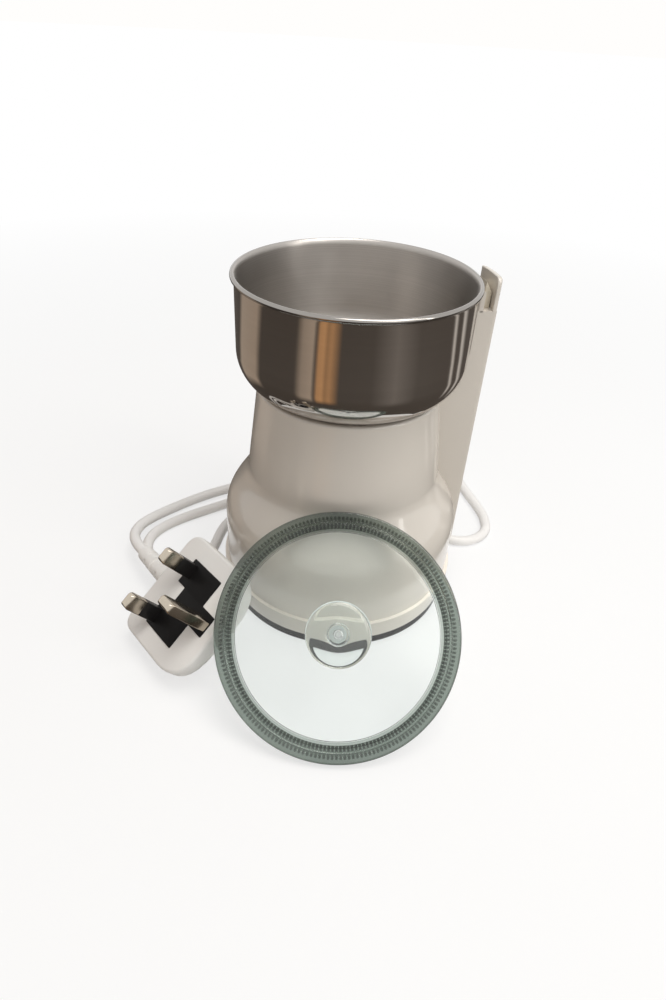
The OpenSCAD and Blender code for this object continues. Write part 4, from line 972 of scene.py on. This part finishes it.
class GRINDER_OT_stage(bpy.types.Operator):
    """Stage: a pale floor, soft lamps, a card for the metal to mirror, a card that shades the left, and the camera"""

    bl_idname = "grinder.stage"
    bl_label = "Stage"

    def lamp(self, name, place, aim, size, power, colour):
        """An area lamp at a place, turned to its aim: its back points away from the aim, and its right is level."""
        light = bpy.data.lights.new(name, "AREA")
        light.shape, light.size, light.size_y, light.energy, light.color = "RECTANGLE", *size, power, colour
        lamp = bpy.data.objects.new(name, light)
        back = np.array(place) - np.array(aim)
        back /= np.linalg.norm(back)
        right = np.cross([0, 0, 1.0], back)
        right /= np.linalg.norm(right)
        lamp.matrix_world = placed(right, np.cross(back, right), back, place)
        bpy.context.scene.collection.objects.link(lamp)

    def sheet(self, name, profile, finish, angles=None):
        """A profile carried round the axis, in metres: a full turn, or an open one through the angles given."""
        grid = lathe(profile, full_turn(96) if angles is None else angles)
        mesh = bpy.data.meshes.new(name)
        faces = grid_faces(*grid.shape[:2], False, angles is None)
        mesh.from_pydata(grid.reshape(-1, 3).tolist(), [], faces.tolist())
        mesh.materials.append(finish)
        sheet = bpy.data.objects.new(name, mesh)
        bpy.context.scene.collection.objects.link(sheet)
        return sheet

    def floor_and_sky(self, scene):
        """A matt floor that turns to plain white with distance, where it is seen, under an even sky."""
        paper = Finish("floor_paper")
        paper.paint(paper.noise(paper.place, 6, 3), [(0.3, (0.93, 0.93, 0.925)), (0.7, (0.95, 0.95, 0.945))])
        paper.set(Roughness=0.9, Specular_IOR_Level=0.1)
        white = paper.node("Emission")
        share = paper.spread(paper.away(paper.place), 0.66, 1.0, 0.15, 0.7)
        share = paper.node("Math", {0: paper.seen(), 1: share}, "MULTIPLY")
        blend = paper.node("MixShader", {0: share.outputs[0], 1: paper.shader.outputs[0], 2: white.outputs[0]})
        paper.link(blend.outputs[0], paper.tree.nodes["Material Output"].inputs["Surface"])
        self.sheet("floor", [[0, 0], [0.3, 0], [1, 0], [8, 0]], paper.material)
        scene.world = bpy.data.worlds.new("studio")
        scene.world.use_nodes = True
        sky = Nodes(scene.world.node_tree)
        light = sky.tree.nodes["Background"]
        light.inputs["Color"].default_value = (1.0, 0.99, 0.975, 1)
        sky.link(sky.spread(sky.seen(), 0.38, 1.0, 0.0, 1.0), light.inputs["Strength"])

    def cards(self):
        """A dark ring on the floor, with sectors of other tones from one angle to the next, that only glossy rays
        see; and a warm card at the left that only diffuse light and shadows see."""
        dark = Finish("card_dark")
        split = dark.node("SeparateXYZ", {0: dark.place})
        turn = dark.node("Math", {0: split.outputs["Y"], 1: split.outputs["X"]}, "ARCTAN2")
        # The ring's tones are painted reflections for the polished bowl: a dark room with warm and pale streaks.
        brown, tan, wood, pale = (0.055, 0.043, 0.034), (0.50, 0.41, 0.33), (0.60, 0.33, 0.15), (0.75, 0.71, 0.67)
        grey = (0.16, 0.14, 0.125)
        bands = [(0.0, brown), (0.108, brown), (0.126, shade(tan, 0.8)), (0.153, tan), (0.158, shade(brown, 1.8)),
                 (0.162, shade(brown, 1.8)), (0.168, wood), (0.18, shade(wood, 1.1)), (0.188, shade(wood, 0.65)),
                 (0.198, shade(wood, 0.9)), (0.222, brown), (0.3, brown), (0.36, grey), (0.42, brown), (0.53, brown),
                 (0.54, pale), (0.55, brown), (0.57, brown), (0.58, pale), (0.6, brown), (0.88, brown), (0.9, tan),
                 (0.975, tan), (0.995, brown)]
        painted_reflection_streaks = dark.colours(dark.spread(turn.outputs[0], 0, 1, -math.pi, math.pi), bands)
        fade = dark.node("Mix")
        fade.data_type = "RGBA"
        fade.inputs[6].default_value = (*brown, 1)
        dark.link(dark.spread(dark.away(dark.place), 0, 1, 0.14, 0.19), fade.inputs[0])
        dark.link(painted_reflection_streaks, fade.inputs[7])
        dark.link(fade.outputs[2], dark.shader.inputs["Base Color"])
        dark.set(Roughness=0.8)
        card = self.sheet("card_low", [[0.075, 0.001], [1.2, 0.001]], dark.material)
        card.visible_camera = card.visible_diffuse = card.visible_shadow = card.visible_transmission = False
        warm = moulded("card_warm", (0.30, 0.19, 0.11), 0.8, 300, 0.0001, 0.2)
        side = self.sheet("card_left", [[0.45, 0.0], [0.45, 0.32]], warm, sweep(165, 232, 24))
        side.visible_camera = side.visible_transmission = side.visible_glossy = False

    def camera(self, scene):
        """The camera of the photograph: turned down by its pitch, then round its own axis by its roll."""
        data = bpy.data.cameras.new("camera")
        data.sensor_width, data.lens, data.shift_x = 36.0, 23.924, 0.00717
        data.clip_start, data.clip_end = 0.01, 20
        camera = bpy.data.objects.new("camera", data)
        pitch, roll = math.radians(36.33), math.radians(3.31)
        level, up = np.array([1.0, 0, 0]), np.array([0, math.sin(pitch), math.cos(pitch)])
        camera.matrix_world = placed(math.cos(roll) * level + math.sin(roll) * up,
                                     math.cos(roll) * up - math.sin(roll) * level,
                                     [0, -math.cos(pitch), math.sin(pitch)], [-0.006571, -0.243147, 0.217295])
        scene.collection.objects.link(camera)
        scene.camera = camera

    def execute(self, context):
        scene = context.scene
        scene.view_settings.view_transform = "Standard"
        self.floor_and_sky(scene)
        self.lamp("key", (0.6, -0.5, 0.95), (0, 0, 0.06), (0.5, 0.5), 2.4, (1.0, 0.98, 0.95))
        self.lamp("top", (0.2, -0.1, 1.1), (0, 0, 0.08), (0.6, 0.6), 6.1, (1.0, 0.97, 0.93))
        self.lamp("strip", (0.75, -0.35, 0.45), (0, 0, 0.1), (0.08, 0.7), 0.8, (1.0, 0.97, 0.93))
        self.cards()
        self.camera(scene)
        return {"FINISHED"}


STEPS = (GRINDER_OT_finishes, GRINDER_OT_body, GRINDER_OT_column, GRINDER_OT_rod, GRINDER_OT_bowl, GRINDER_OT_blade,
         GRINDER_OT_lid, GRINDER_OT_lead, GRINDER_OT_plug, GRINDER_OT_stage)


class GRINDER_PT_panel(bpy.types.Panel):
    """The grinder's pieces and sizes"""

    bl_idname = "GRINDER_PT_panel"
    bl_label = "Coffee Grinder"
    bl_space_type = "VIEW_3D"
    bl_region_type = "UI"
    bl_category = "Grinder"

    def draw(self, context):
        """A button for each step and a box for each group of sizes."""
        for step in STEPS:
            self.layout.operator(step.bl_idname)
        for group in GROUPS:
            box = self.layout.box()
            for name in GROUPS[group].__annotations__:
                box.prop(getattr(context.scene, group), name)


GROUPS = {"grinder_body": GRINDER_BodySizes, "grinder_lid": GRINDER_LidSizes, "grinder_lead": GRINDER_LeadSizes,
          "grinder_colours": GRINDER_Colours}


def register():
    """Add the groups of sizes, the steps and the panel."""
    for name, group in GROUPS.items():
        bpy.utils.register_class(group)
        setattr(bpy.types.Scene, name, PointerProperty(type=group))
    for step in (*STEPS, GRINDER_PT_panel):
        bpy.utils.register_class(step)


def unregister():
    """Take them away again."""
    for step in (GRINDER_PT_panel, *reversed(STEPS)):
        bpy.utils.unregister_class(step)
    for name, group in GROUPS.items():
        delattr(bpy.types.Scene, name)
        bpy.utils.unregister_class(group)


def main():
    """Run every step in order."""
    register()
    bpy.ops.grinder.finishes()
    bpy.ops.grinder.body()
    bpy.ops.grinder.column()
    bpy.ops.grinder.rod()
    bpy.ops.grinder.bowl()
    bpy.ops.grinder.blade()
    bpy.ops.grinder.lid()
    bpy.ops.grinder.lead()
    bpy.ops.grinder.plug()
    bpy.ops.grinder.stage()


if __name__ == "__main__":
    main()
